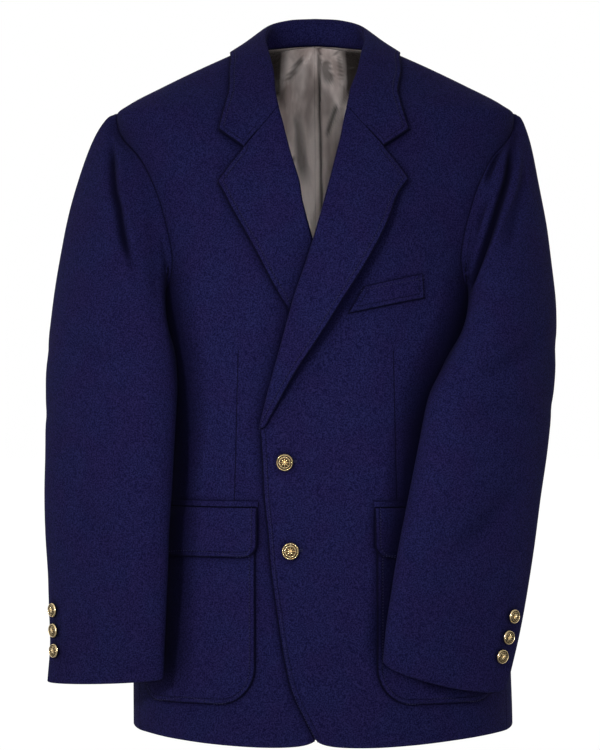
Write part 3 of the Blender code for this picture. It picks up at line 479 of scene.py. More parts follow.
def lap(side, x, z):
    """How far a front stands off the body form: the wearer's left laps over."""
    if side < 0:
        return 0.0 * x
    return lap_height(z) * (1.0 - smoothstep((x - LAP_FULL_X)
                                             / (LAP_END_X - LAP_FULL_X)))


# ---------------- folds

def view_of(points, normals, view, side):
    """Points as seen from one side, and how far each faces it."""
    if view in ("front", "back"):
        facing = -normals[..., 1] if view == "front" else normals[..., 1]
        flat = np.stack([points[..., 0] * side, points[..., 2]], axis=-1)
    else:
        facing = normals[..., 0] * side
        facing = -facing if view == "inner" else facing
        flat = points[..., 1:3]
    return flat, smoothstep((facing + 0.05) / 0.45)


def along_line(flat, line):
    """Signed distance of each point to a line, and how far along it it lies."""
    line = spline(line, 6)
    steps = np.diff(line, axis=0)
    reach = run(line)
    best = np.full(flat.shape[:-1], FAR_OFF)
    place = np.zeros(flat.shape[:-1])
    for start, step, first in zip(line, steps, reach):
        long = max(float(step @ step), 1e-12)
        away = flat - start
        t = np.clip((away @ step) / long, 0.0, 1.0)
        gap = np.linalg.norm(away - t[..., None] * step, axis=-1)
        nearer = gap < np.abs(best)
        turn = np.where(step[0] * away[..., 1] - step[1] * away[..., 0] < 0, -1.0, 1.0)
        best = np.where(nearer, gap * turn, best)
        place = np.where(nearer, first + t * math.sqrt(long), place)
    return best, place, reach[-1]


def trough(flat, line, width, depth, steep=1.0):
    """Soft trough along a line, steep on one side, which fades towards its ends."""
    gap, place, whole = along_line(flat, line)
    taper = smoothstep(place / (0.24 * whole)) * smoothstep((whole - place)
                                                            / (0.34 * whole))
    wide = np.where(gap < 0, width * steep, width / steep)
    return -depth * np.exp(-(gap / wide) ** 2) * taper


def drift(points, amount):
    """Slow unevenness that keeps large panels from looking pressed flat."""
    x, y, z = points[..., 0], points[..., 1], points[..., 2]
    wave = np.sin(0.31 * x + 0.23 * z + 1.3) * np.sin(0.19 * z - 0.27 * y + 0.4)
    wave = wave + 0.5 * np.sin(0.67 * x - 0.41 * z + 0.5 * y) * np.sin(0.37 * z + 2.1)
    return amount * wave


def dart_shape(x, z):
    """Sideways distance from the dart of a front, and where the dart is sewn."""
    line = spline(DART, 8)
    order = np.argsort(line[:, 1])
    middle = np.interp(z, line[order, 1], line[order, 0])
    shown = smoothstep((DART[0][1] - z) / 1.5) * smoothstep((z - DART[-1][1]) / 0.4)
    return x - middle, shown


def body_relief(side, points, normals):
    """Folds, darts and unevenness of the body panels."""
    total = drift(points, 0.035)
    for on, view, *fold in BODY_FOLDS:
        if on == side:
            flat, facing = view_of(points, normals, view, side)
            total = total + trough(flat, *fold) * facing
    z = points[..., 2]
    sideways, shown = dart_shape(points[..., 0] * side, z)
    shown = shown * smoothstep(-normals[..., 1] * 3.0)
    total = total - DART_DEPTH * np.exp(-(sideways / DART_WIDTH) ** 2) * shown
    return total * (0.3 + 0.7 * smoothstep((z + 3.0) / -5.0))


def on_front(side, c, z, height=0.0):
    return on_back(side, c, z, lap(side, width_at(c, z), z) + height)


def on_back(side, c, z, height=0.0):
    """Points of a back or side panel at a height above the cloth, and directions."""
    point, normal = body(side, c, z)
    off = height + body_relief(side, point, normal)
    return point + normal * np.asarray(off)[..., None], normal


# ---------------- pattern lines

def roll_x(z):
    return BREAK_X + ROLL_SLOPE * (z - BREAK_Z)


def run(points):
    """Length along a line of points up to each of them."""
    steps = np.linalg.norm(np.diff(points, axis=0), axis=1)
    return np.concatenate([[0.0], np.cumsum(steps)])


def spaced(line, reach, count):
    """Pairs of a line at even steps of the length that reach measures."""
    goals = np.linspace(0.0, reach[-1], count + 1)
    return np.stack([np.interp(goals, reach, line[:, k]) for k in (0, 1)], axis=-1)


def resample(dense, count):
    """Girth and height pairs spaced evenly by length over the cloth."""
    dense = np.array(dense, float)
    return spaced(dense, run(body(1, dense[:, 0], dense[:, 1])[0]), count)


def from_xz(points, back=False):
    points = np.array(points, float)
    c = girth(points[:, 0], points[:, 1])
    return np.stack([2.0 - c if back else c, points[:, 1]], axis=-1)


def join(*lines):
    return np.concatenate([lines[0]] + [line[1:] for line in lines[1:]])


def straight(start, end):
    t = np.linspace(0.0, 1.0, 49)[:, None]
    return np.array(start, float) * (1 - t) + np.array(end, float) * t


NECK_FRONT = (float(girth(roll_x(ROLL_TOP_Z), ROLL_TOP_Z)), ROLL_TOP_Z)
NECK_SEAM = [COLLAR[i][0:2] for i in range(7)] + [NECK_FRONT]


def neck_line(stops):
    count = (len(stops) - 1) * ROW_CELLS
    return at_stop(NECK_SEAM, between(stops, np.arange(count + 1) / ROW_CELLS))


def armhole_line():
    """Armhole from the shoulder tip down the front, under the arm and back."""
    tip = [(1.0, SHOULDER_TIP_Z)]
    front = from_xz(ARMHOLE_FRONT)
    back = from_xz(ARMHOLE_BACK, back=True)
    dense = spline(np.concatenate([tip, front, ARMHOLE_BOTTOM, back, tip]))
    first = 12 * (len(front) + 1)
    second = first + 24
    return dense[:first + 1], dense[first:second + 1], dense[second:]


ARM_LINES = armhole_line()
ARM_FRONT = resample(ARM_LINES[0], ARMHOLE_ROWS * ROW_CELLS)
ARM_UNDER = resample(ARM_LINES[1], SIDE_COLUMNS * ROW_CELLS)
ARM_BACK = resample(ARM_LINES[2], ARMHOLE_ROWS * ROW_CELLS)
SHOULDER = straight((1.0, NECK_POINT_Z), (1.0, SHOULDER_TIP_Z))


def side_seam(which):
    c = SIDE_SEAMS[which]
    top = ARM_UNDER[0] if which == 0 else ARM_UNDER[-1]
    return resample(straight((c, float(hem_height(c))), top), SEAM_ROWS)


def coons(bottom, top, inner, outer):
    """Grid of girth and height pairs filled in between four lines."""
    v = np.linspace(0.0, 1.0, len(inner))[:, None, None]
    u = np.linspace(0.0, 1.0, len(bottom))[None, :, None]
    ruled = bottom[None] * (1 - v) + top[None] * v
    ruled = ruled + inner[:, None] * (1 - u) + outer[:, None] * u
    corners = (bottom[0] * (1 - u) + bottom[-1] * u) * (1 - v)
    corners = corners + (top[0] * (1 - u) + top[-1] * u) * v
    return ruled - corners


def front_grid():
    count = SHOULDER_COLUMNS * COLUMN_CELLS
    edge = resample(spline(from_xz(FRONT_EDGE)), EDGE_ROWS)
    z = np.linspace(BREAK_Z, ROLL_TOP_Z, 60)
    roll = resample(np.stack([girth(roll_x(z), z), z], axis=-1), ROLL_ROWS)
    inner = join(edge, roll, neck_line(FRONT_NECK_STOPS))
    outer = join(side_seam(0), ARM_FRONT[::-1])
    corner = (SIDE_SEAMS[0], float(hem_height(SIDE_SEAMS[0])))
    bottom = resample(spline(np.concatenate([from_xz(FRONT_HEM), [corner]])), count)
    return coons(bottom, resample(SHOULDER, count), inner, outer)


def back_grid():
    count = SHOULDER_COLUMNS * (COLUMN_CELLS - 3)
    neck = neck_line(BACK_NECK_STOPS)
    rows = SEAM_ROWS + ARMHOLE_ROWS * ROW_CELLS - len(neck) + 1
    middle = resample(straight((2.0, float(hem_height(2.0))), neck[0]), rows)
    inner = join(middle, neck)
    outer = join(side_seam(1), ARM_BACK)
    c = np.linspace(2.0, SIDE_SEAMS[1], 60)
    bottom = resample(np.stack([c, hem_height(c)], axis=-1), count)
    return coons(bottom, resample(SHOULDER, count), inner, outer)


def side_grid():
    c = np.linspace(SIDE_SEAMS[0], SIDE_SEAMS[1], 60)
    bottom = resample(np.stack([c, hem_height(c)], axis=-1), SIDE_COLUMNS * ROW_CELLS)
    return coons(bottom, ARM_UNDER, side_seam(0), side_seam(1))


# ---------------- making cloth

def border_of(rows, columns):
    ring = [(0, j) for j in range(columns)]
    ring += [(i, columns - 1) for i in range(1, rows)]
    ring += [(rows - 1, j) for j in range(columns - 2, -1, -1)]
    ring += [(i, 0) for i in range(rows - 2, 0, -1)]
    return np.array(ring)


def surface_normals(points, towards):
    """Unit normals of a grid, on the side of the given directions."""
    across = np.gradient(points, axis=1)
    along = np.gradient(points, axis=0)
    normals = unit(np.cross(across, along))
    turn = np.sign(np.sum(normals * towards, axis=-1, keepdims=True))
    return normals * np.where(turn == 0, 1.0, turn)


def outward_at(points):
    """At each place of the border, the direction out of the piece."""
    out = np.zeros_like(points)
    for view, grid in ((out, points), (out.swapaxes(0, 1), points.swapaxes(0, 1))):
        for rim, next_in in ((0, 1), (-1, -2)):
            view[rim] += unit(grid[rim] - grid[next_in])
    return unit(out)


def border_room(points):
    """At each place of the border, the gap to the next row or column."""
    room = np.full(points.shape[:2], NO_EDGE)
    for view, grid in ((room, points), (room.T, points.swapaxes(0, 1))):
        for rim, next_in in ((0, 1), (-1, -2)):
            gap = np.linalg.norm(grid[rim] - grid[next_in], axis=-1)
            view[rim] = np.minimum(view[rim], gap)
    return room[..., None]


def line_distance(points, line, step=4):
    """Distance in space of each point of a grid to every few points of a line."""
    line = np.concatenate([line[:-1:step], line[-1:]])
    best = np.full(points.shape[:-1], NO_EDGE)
    for start, end in zip(line, line[1:]):
        step = end - start
        long = max(float(step @ step), 1e-12)
        t = np.clip(((points - start) @ step) / long, 0.0, 1.0)
        gap = np.linalg.norm(points - start - t[..., None] * step, axis=-1)
        best = np.minimum(best, gap)
    return best


def linked(name, mesh):
    """The object of a mesh, in the scene."""
    made = bpy.data.objects.new(name, mesh)
    bpy.context.scene.collection.objects.link(made)
    return made


def store(mesh, label, values, kind="FLOAT", field="value"):
    """Numbers kept on the points of a mesh."""
    mesh.attributes.new(label, kind, "POINT").data.foreach_set(
        field, np.array(values, np.float32).ravel())


def shell(name, outer, normals, thick, materials, inside=None, edge=NO_EDGE,
          dart=(NO_EDGE, 0.0), seam=SEAM, fold=0.0):
    """Shell of cloth under a grid of points, with its edges rounded as if folded.

    inside marks the cells of the inner face that show lining, edge is the distance
    to the open edges, dart the distance to a dart and where it is sewn, and fold
    how far the cloth is folded in, or on the lining how much shade to paint; the
    finishes paint shade from edge, dart and fold.
    """
    rows, columns = outer.shape[:2]
    ring = border_of(rows, columns)
    ri, rj = ring.T
    away = outward_at(outer)
    half = thick / 2.0
    inset = np.zeros((rows, columns, 1))
    inset[ri, rj] = seam + half
    inset = np.minimum(inset, 0.8 * border_room(outer))
    inset[ri, rj] = np.maximum(inset[ri, rj], 0.004)
    top = outer - away * inset
    low = outer - normals * thick - away * inset
    middle = (top[ri, rj] + low[ri, rj]) / 2.0
    reach = np.maximum(inset[ri, rj] - seam, 0.002)
    loops = [middle + away[ri, rj] * reach * math.cos(math.radians(a))
             + normals[ri, rj] * half * math.sin(math.radians(a))
             for a in EDGE_ANGLES]
    points = np.concatenate([top.reshape(-1, 3), low.reshape(-1, 3)] + loops)
    count = rows * columns
    grid = np.arange(count).reshape(rows, columns)
    a, b, c, d = (corner.ravel() for corner in (grid[:-1, :-1], grid[:-1, 1:],
                                                grid[1:, 1:], grid[1:, :-1]))
    faces = [np.stack([a, b, c, d], axis=-1), np.stack([a, d, c, b], axis=-1) + count]
    here = np.arange(len(ring))
    there = (here + 1) % len(ring)
    flat = ri * columns + rj
    chain = [flat, *(2 * count + k * len(ring) + here for k in range(3)), count + flat]
    for one, two in zip(chain, chain[1:]):
        faces.append(np.stack([one[there], one[here], two[here], two[there]], axis=-1))
    faces = np.concatenate(faces)
    i, j = rows // 2, columns // 2
    upward = np.cross(outer[i, j + 1] - outer[i, j], outer[i + 1, j] - outer[i, j])
    if np.dot(upward, normals[i, j]) < 0:
        faces = faces[:, ::-1]
    mesh = bpy.data.meshes.new(name)
    mesh.from_pydata((points * CM).tolist(), [], faces.tolist())
    mesh.polygons.foreach_set("use_smooth", np.ones(len(faces), bool))
    for material in materials:
        mesh.materials.append(material)
    kinds = np.zeros(len(faces), np.int32)
    if inside is not None:
        kinds[len(a):2 * len(a)] = inside[:-1, :-1].ravel()
    mesh.polygons.foreach_set("material_index", kinds)

    def spread(values):
        """The values of the grid at every point of the shell."""
        return np.concatenate([values, values] + [values[flat]] * 3)

    u = np.linalg.norm(np.diff(outer, axis=1, prepend=outer[:, :1]), axis=-1)
    u = np.cumsum(u, axis=1)
    v = np.linalg.norm(np.diff(outer, axis=0, prepend=outer[:1]), axis=-1)
    v = np.cumsum(v, axis=0)
    u = u - u[:, columns // 2:columns // 2 + 1]
    places = spread(np.stack([u.ravel(), v.ravel()], axis=-1) * CM)
    corner = np.zeros(len(mesh.loops), np.int32)
    mesh.loops.foreach_get("vertex_index", corner)
    mesh.uv_layers.new(name="cloth").data.foreach_set(
        "uv", places[corner].astype(np.float32).ravel())
    for label, values in (("edge", edge), ("dart", dart[0]), ("dart_sewn", dart[1]),
                          ("fold", fold)):
        store(mesh, label, spread(np.broadcast_to(values, (rows, columns)).ravel()))
    mesh.validate()
    return linked(name, mesh)


def cut_size(points):
    """Width, length and area of the flat cut under a grid, in metres."""
    wide = np.linalg.norm(np.diff(points, axis=1), axis=-1).sum(axis=1).max()
    long = np.linalg.norm(np.diff(points, axis=0), axis=-1).sum(axis=0).max()
    du = points[:-1, 1:] - points[:-1, :-1]
    dv = points[1:, :-1] - points[:-1, :-1]
    area = np.linalg.norm(np.cross(du, dv), axis=-1).sum()
    return wide * CM, long * CM, area * CM * CM


def cloth(node, outer, normals, thick, finishes, held, rests_on, slot="wool", **more):
    """A piece of cloth in place of its part of the model, attached to the root; its
    flat cut is measured but not kept.
    """
    made = shell(node + "_cloth", outer, normals, thick, finishes, **more)
    wide, long, area = cut_size(outer)
    wide = round(max(wide, 0.0101), 3)
    long = round(max(long, 0.0101), 3)
    area = round(min(max(area, 0.31 * wide * long), 0.999 * wide * long), 6)
    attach(made, "root")
    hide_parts(node)
    return made


# ---------------- body panels

def open_inside(outer):
    """The inside of a panel but for its hem and the wool beside the armhole."""
    return ((line_distance(outer, outer[SEAM_ROWS:, -1]) > ARMHOLE_WOOL)
            & (line_distance(outer, outer[0]) > HEM_WOOL))


def front(side, finishes):
    pairs = front_grid()
    outer, normals = on_front(side, pairs[..., 0], pairs[..., 1])
    edge = line_distance(outer, outer[:EDGE_ROWS + 1, 0])
    roll = line_distance(outer, outer[EDGE_ROWS:EDGE_ROWS + ROLL_ROWS + 1, 0])
    lined = (np.minimum(edge, roll) > FACING_WIDE) & open_inside(outer)
    made = cloth("front_" + WORDS[side], outer, normals, CLOTH, finishes, "hung",
                 ["back_" + WORDS[side]], inside=lined, edge=edge,
                 dart=dart_shape(outer[..., 0] * side, outer[..., 2]))
    return made, outer, normals


def back(side, finishes):
    pairs = back_grid()
    outer, normals = on_back(side, pairs[..., 0], pairs[..., 1])
    lined = open_inside(outer)
    lined &= line_distance(outer, outer[-1]) > NECK_WOOL
    cloth("back_" + WORDS[side], outer, normals, CLOTH, finishes, "hung",
          ["collar_stand"], inside=lined)
    return pairs


def side_panel(side, finishes):
    pairs = side_grid()
    outer, normals = on_back(side, pairs[..., 0], pairs[..., 1])
    lined = ((line_distance(outer, outer[0]) > HEM_WOOL)
             & (line_distance(outer, outer[-1], 2) > ARMHOLE_WOOL))
    cloth("side_" + WORDS[side], outer, normals, CLOTH, finishes, "hung",
          ["front_" + WORDS[side], "back_" + WORDS[side]], inside=lined)


# ---------------- lapels and collar

def rolled(side, start, path, radius, rise, places):
    """Section that turns round the edge of a front and lies back on it.

    path is x and z of the part that lies on the front, at whole places 6 to 10.
    """
    start = np.array(start, float)
    path = np.concatenate([[start], np.array(path, float)])
    rim, normal = on_front(side, girth(start[0], start[1]), start[1])
    first = start * 0.7 + path[1] * 0.3
    along = on_front(side, girth(first[0], first[1]), first[1])[0] - rim
    along = unit(along - normal * np.dot(along, normal))
    middle = rim + normal * (radius - WALL / 2) - along * 0.04
    angles = np.radians(between(ROLL_ANGLES, places[places <= 5.0]))[:, None]
    rays = along * np.cos(angles) + normal * np.sin(angles)
    lying = places[places > 5.0] - 5.0
    x, z = between(path, lying).T
    lift = 2 * radius + rise * (lying / 5.0) ** 2
    flat, flat_outs = on_front(side, girth(x, z), z, lift)
    return (np.concatenate([middle + rays * (radius + WALL / 2), flat]),
            np.concatenate([rays, flat_outs]))


def split_path(start, turn, end):
    """Five points after start: three up to a turn and two on to the end."""
    start, turn, end = np.array(start), np.array(turn), np.array(end)
    return np.array([start + (turn - start) * i / 3 for i in (1, 2, 3)]
                    + [turn + (end - turn) * i / 2 for i in (1, 2)])


LAPEL_PLACES = np.concatenate([np.linspace(0, 5, 21), np.linspace(5, 10, 56)[1:]])


def lapel(side, finishes):
    gorge = np.array((roll_x(GORGE_Z), GORGE_Z))
    last = np.array((roll_x(LAPEL_END_Z), LAPEL_END_Z))
    fine = LAPEL_ROWS * 9
    edge = spline(LAPEL_EDGE[side])
    edge = spaced(edge, run(edge), fine)
    bent = split_path(gorge, NOTCH, LAPEL_TIP[side])
    fifths = np.arange(1, 6)[:, None] / 5
    rows = []
    for i in range(fine + 1):
        v = i / fine
        start = gorge + (last - gorge) * v
        plain = start + (edge[i] - start) * fifths
        share = min(v * LAPEL_ROWS, 1.0)
        top = bent + (start - gorge) * (1.0 - fifths)
        path = top * (1 - share) + plain * share
        if i:
            path[-1] = edge[i]
        radius = FOLD_RADIUS - 0.08 * float(smoothstep((v - 0.85) / 0.15))
        rise = LAPEL_EDGE_RISE[side] * math.sin(math.pi * min(v * 1.05, 1.0)) ** 1.2
        rows.append(rolled(side, start, path, radius, rise, LAPEL_PLACES))
    shown, outs = (np.array(part) for part in zip(*rows))
    outs = surface_normals(shown, outs)
    open_edge = np.concatenate([shown[0, LAPEL_TOP:], shown[1:, -1]])
    cloth("lapel_" + WORDS[side], shown, outs, CLOTH, finishes, "folded",
          ["front_" + WORDS[side]], edge=line_distance(shown, open_edge, 2))
    return shown, outs


def bezier(p0, p1, p2, p3, t):
    t = np.asarray(t)[:, None]
    s = 1.0 - t
    return p0 * s ** 3 + p1 * 3 * s * s * t + p2 * 3 * s * t * t + p3 * t ** 3


COLLAR_PLACES = np.concatenate([np.linspace(0, 3, 22), np.linspace(3, 10, 64)[1:]])
STAND_COLUMNS = 22
STAND_T = (0.0, 0.4, 0.72, 1.0)
FALL_T = (0.0, 0.20, 0.34, 0.48, 0.62, 0.75, 0.88, 1.0)


def collar_stop(index):
    """Middle line of the collar at one stop, from the neck seam to the edge."""
    c, z, fold_x, fold_y, fold_z, edge_c, edge_z, roll = COLLAR[index]
    seam, normal = body(1, c, z)
    seam = seam - normal * WALL / 2
    before = body(1, *at_stop(NECK_SEAM, max(index - 0.2, 0))[0])[0]
    after = body(1, *at_stop(NECK_SEAM, index + 0.2)[0])[0]
    fold = np.array((fold_x, fold_y, fold_z))
    off = unit(np.cross(after - before, normal))
    if np.dot(off, fold - seam) < 0:
        off = -off
    span = seam - fold
    out = unit(normal - span * (np.dot(normal, span) / np.dot(span, span)))
    edge, edge_normal = body(1, edge_c, edge_z)
    edge = edge + edge_normal * FALL_HEIGHT
    first = fold + out * roll
    last = edge + (first - edge) * 0.4 + edge_normal * 0.20
    long = np.linalg.norm(span)
    stand = bezier(seam, seam + off * long * 0.3, fold - out * roll, fold,
                   between(STAND_T, COLLAR_PLACES[:STAND_COLUMNS]))
    fall = bezier(fold, first, last, edge,
                  between(FALL_T, COLLAR_PLACES[STAND_COLUMNS:] - 3.0))
    return np.concatenate([stand, fall])


def turned(side, stop):
    """Middle line of the collar where it rolls over the edge of a front."""
    share = stop - 7.0
    level = ROLL_TOP_Z + (GORGE_Z - ROLL_TOP_Z) * share
    start = np.array((roll_x(level), level))
    edge = np.array(COLLAR_EDGE_7)
    plain = split_path(start, start + (edge - start) * 0.6, edge)
    bent = split_path(start, NOTCH, COLLAR_TIP)
    path = plain + (bent - plain) * share
    points, outs = rolled(side, start, path, FOLD_RADIUS, 0.0, COLLAR_PLACES)
    return points - outs * WALL / 2


def collar_side(side, stops):
    """Middle lines of one half of the collar, and the same at the neck seam."""
    lines = [collar_stop(i) * (side, 1, 1) for i in range(7)]
    lines += [turned(side, 7.0), turned(side, 8.0)]
    half = []
    for stop in stops:
        if stop >= 7.0:
            half.append(turned(side, stop))
        else:
            line = at_stop(lines, stop)[0]
            point, normal = body(side, *at_stop(NECK_SEAM, stop)[0])
            seam = point - normal * WALL / 2
            fade = np.clip(1.0 - COLLAR_PLACES, 0.0, 1.0)[:, None]
            half.append(line + (seam - line[0]) * fade)
    return np.array(half)


def collar(finishes):
    stops = np.concatenate([np.linspace(0, 4, 61), np.linspace(4, 8, 61)[1:]])
    right = collar_side(-1, stops)
    middle = np.concatenate([right[:0:-1], collar_side(1, stops)])
    normals = unit(np.cross(np.gradient(middle, axis=0), np.gradient(middle, axis=1)))
    if np.dot(normals[len(stops) - 1, -8], (0.0, 1.0, 0.3)) < 0:
        normals = -normals
    shown = middle + normals * COLLAR_WALL / 2
    cloth("collar_stand", shown[:, :STAND_COLUMNS], normals[:, :STAND_COLUMNS],
          COLLAR_WALL, finishes, "folded", ["back_left", "back_right"])
    skin, outs = shown[:, STAND_COLUMNS - 1:], normals[:, STAND_COLUMNS - 1:]
    open_edge = np.concatenate([skin[0, -COLLAR_OPEN:], skin[1:, -1],
                                skin[-1, -COLLAR_OPEN:][::-1]])
    cloth("collar_fall", skin, outs, COLLAR_WALL, finishes, "folded", ["collar_stand"],
          edge=line_distance(skin, open_edge, 2))
    return skin, outs


# ---------------- pockets

def along_girth(c, z, distance):
    step = np.linalg.norm(body(1, c + 0.01, z)[0] - body(1, c, z)[0], axis=-1) / 0.01
    return c + distance / step


def pocket_grid(shape, side, rows, columns):
    """Rows of a pocket piece with round lower corners, top to bottom."""
    radius = shape["radius"]
    straight_end = shape["bottom"] + radius
    z = np.linspace(shape["top"], straight_end, rows)
    inset = np.zeros(rows)
    if radius:
        turn = np.radians(np.linspace(0, 84, rows // 2 + 8))[1:]
        z = np.concatenate([z, straight_end - radius * np.sin(turn)])
        inset = np.concatenate([inset, radius - radius * np.cos(turn)])
        z = np.concatenate([z, [shape["bottom"]]])
        inset = np.concatenate([inset, [radius]])
    first = along_girth(girth(shape["x"] + 0.0 * z, z), z, inset)
    last = along_girth(shape["c"] - side * POCKET_EVEN + 0.0 * z, z, -inset)
    share = np.linspace(0.0, 1.0, columns + 1)
    c = first[:, None] + (last - first)[:, None] * share
    return c, z[:, None] + 0.0 * c


def on_pocket(node, side, c, z, stand, thick, finishes, edges, belly=0.0):
    """Piece that lies on a front; edges says which of its borders are stitched."""
    rows, columns = (np.sin(np.linspace(0, math.pi, count)) for count in c.shape)
    swell = rows[:, None] * columns * belly
    outer, normals = on_front(side, c, z, np.asarray(stand)[:, None] + thick + swell)
    lines = {"top": outer[0], "bottom": outer[-1], "near": outer[:, 0],
             "far": outer[:, -1]}
    edge = np.full(c.shape, NO_EDGE)
    for which in edges:
        edge = np.minimum(edge, line_distance(outer, lines[which], 2))
    cloth(node, outer, normals, thick, finishes, "laid", ["front_" + WORDS[side]],
          edge=edge)
    return outer, normals


def pockets(side, finishes):
    """Patch pocket, flap and band of one front; the first two show stitching."""
    open_sides = ("near", "far", "bottom")
    c, z = pocket_grid(PATCH, side, 46, 52)
    patch = on_pocket("patch_pocket_" + WORDS[side], side, c, z,
                      np.full(len(c), POCKET_STAND), POCKET_WALL, finishes,
                      open_sides, 0.10)
    c, z = pocket_grid(FLAP, side, 26, 60)
    share = np.linspace(0.0, 1.0, len(c))
    stand = 0.10 + (FLAP_STAND - 0.10) * smoothstep(share / 0.16) + 0.06 * share ** 3
    flap = on_pocket("pocket_flap_" + WORDS[side], side, c, z, stand, FLAP_WALL,
                     finishes, open_sides, 0.06)
    c, z = pocket_grid(BAND, side, 6, 64)
    on_pocket("pocket_band_" + WORDS[side], side, c, z, np.full(len(c), POCKET_STAND),
              TRIM_WALL, finishes, ())
    return patch, flap


def breast_welt(finishes):
    corners = np.array(WELT)
    up = np.linspace(0.0, 1.0, 14)[:, None, None]
    across = np.linspace(0.0, 1.0, 46)[None, :, None]
    low = corners[0] * (1 - across) + corners[1] * across
    high = corners[3] * (1 - across) + corners[2] * across
    grid = low * (1 - up) + high * up
    c = girth(grid[..., 0], grid[..., 1])
    return on_pocket("breast_welt", 1, c, grid[..., 1], np.full(14, POCKET_STAND),
                     TRIM_WALL, finishes, ("top", "near", "far"), 0.03)


# ---------------- sleeves

def armhole_ring(side):
    """Points of the armhole seam, and how far round each is in degrees."""
    cells = (ARMHOLE_ROWS, SIDE_COLUMNS, ARMHOLE_ROWS)
    pairs = join(*(resample(line, count * RING_CELLS)
                   for line, count in zip(ARM_LINES, cells)))
    points = on_back(side, pairs[:, 0], pairs[:, 1])[0]
    reach = run(points)
    half = reach[(ARMHOLE_ROWS + SIDE_COLUMNS // 2) * RING_CELLS]
    turns = np.where(reach <= half, 180.0 * reach / half,
                     180.0 + 180.0 * (reach - half) / (reach[-1] - half))
    under = smoothstep(1.4 - np.abs(turns - 180.0) / 70.0)
    points[:, 0] += side * UNDERARM_START * under
    return points[:-1], turns[:-1]


def clear_of_body(side, points, room):
    """The points moved out until they are clear of the body panels and pockets."""
    z = points[:, 2]
    y = points[:, 1]
    x = side * (points[:, 0] - swing(z))
    front_side = y < 0
    depth = np.where(front_side, front_depth(z), back_depth(z))
    share = (np.abs(x) / half_width(z)) ** ROUND + (np.abs(y) / depth) ** ROUND
    share = share ** (1.0 / ROUND)
    patch = smoothstep((z - PATCH_END) / 2.0) * smoothstep((POCKETS_TOP - z) / 2.0)
    flap = smoothstep((z - FLAP_END) / 2.0) * smoothstep((POCKETS_TOP - z) / 2.0)
    shown = 1.0 - smoothstep((girth(x, z) - 0.775) / 0.08)
    more = lap(side, x, z) + (0.30 * patch + 0.36 * flap) * shown
    room = room + np.where(front_side, more, 0.0)
    need = 1.0 + room * 1.25 * share / np.hypot(x, y)
    push = np.maximum(need / share, 1.0)
    return np.stack([side * x * push + swing(z), y * push, z], axis=-1)


def sleeve_rings(side):
    """Outer face of a sleeve as rings from the armhole to the cuff."""
    table = np.array(SLEEVES[side])
    places = np.arange(len(table))
    curves = [monotone(places, table[:, k]) for k in range(8)]
    start, turns = armhole_ring(side)
    count = (len(SLEEVE_STOPS) - 1) * SLEEVE_CELLS
    stops = between(SLEEVE_STOPS, np.arange(count + 1) / SLEEVE_CELLS)
    angles = np.radians(turns + SLEEVE_TURN)
    rings = []
    for stop in stops:
        share, top, under, back_x, back_y, tip_x, tip_y, half = [f(stop)
                                                                 for f in curves]
        centre = np.array(((back_x + tip_x) / 2, (back_y + tip_y) / 2))
        major = np.array(((back_x - tip_x) / 2, (back_y - tip_y) / 2))
        minor = unit(np.array((major[1], -major[0]))) * half
        flat = (centre + np.cos(angles)[:, None] * major
                + np.sin(angles)[:, None] * minor)
        level = (top + under) / 2 + (top - under) / 2 * np.cos(np.radians(turns))
        ring = np.stack([side * flat[:, 0], flat[:, 1], level], axis=-1)
        ring = start + (ring - start) * share
        if stop > 0:
            ring = clear_of_body(side, ring, float(sleeve_room(stop)))
        rings.append(ring)
    return np.array(rings)


def ring_normals(rings):
    across = np.roll(rings, -1, axis=1) - np.roll(rings, 1, axis=1)
    along = np.gradient(rings, axis=0)
    normals = unit(np.cross(across, along))
    out = rings - rings.mean(axis=1, keepdims=True)
    if np.sum(normals * out) < 0:
        normals = -normals
    return normals


def tuck(side, ring, deep, inwards):
    """How far the seam allowance of a sleeve head turns in under the body."""
    middle = ring.mean(axis=0)
    towards = unit(middle - ring) * (0.4, 1.0, 1.0)
    return towards * deep + np.array((-side * inwards, 0.0, 0.0))


def sleeve(side, finishes):
    rings = sleeve_rings(side)
    normals = ring_normals(rings)
    relief = drift(rings * (1.0, 1.4, 1.2), 0.045)
    for view, folds in SLEEVE_FOLDS[side].items():
        flat, facing = view_of(rings, normals, view, side)
        for fold in folds:
            relief = relief + trough(flat, *fold) * facing
    far = np.arange(len(rings))[:, None] / SLEEVE_CELLS
    calm = 1 - 0.7 * smoothstep((far - CUFF_CALM) / 1.4)
    relief = relief * smoothstep(far / 0.6) * calm
    rings = rings + normals * relief[..., None]
    rings = np.concatenate([[rings[0] + tuck(side, rings[0], deep, inwards)
                             for deep, inwards in HEAD_TUCK], rings])
    relief = np.concatenate([np.zeros((3, rings.shape[1])), relief])
    normals = ring_normals(rings)
    normals[:3] = normals[3]
    count = rings.shape[1]
    first = count - UNDER_SEAM_BACK * RING_CELLS
    seam = ARMHOLE_ROWS * RING_CELLS
    made = []
    for name, picks, allowance in (
            ("top_sleeve_", np.arange(first, count + seam + 1) % count, ARMHOLE_WOOL),
            ("under_sleeve_", np.arange(seam, first + 1), UNDERARM_WOOL)):
        outer = rings[:, picks]
        ends = np.minimum(line_distance(outer, outer[-1], 2) - ARMHOLE_WOOL,
                          line_distance(outer, outer[0], 2))
        # The fold depth goes into the fold attribute, from which the wool paints shade
        # into the folds.
        made.append(cloth(name + WORDS[side], outer, normals[:, picks], SLEEVE_WALL,
                          finishes, "hung", ["front_" + WORDS[side],
                                             "back_" + WORDS[side]],
                          inside=(ends > allowance), fold=-relief[:, picks]))
    return made[0]


# ---------------- lining

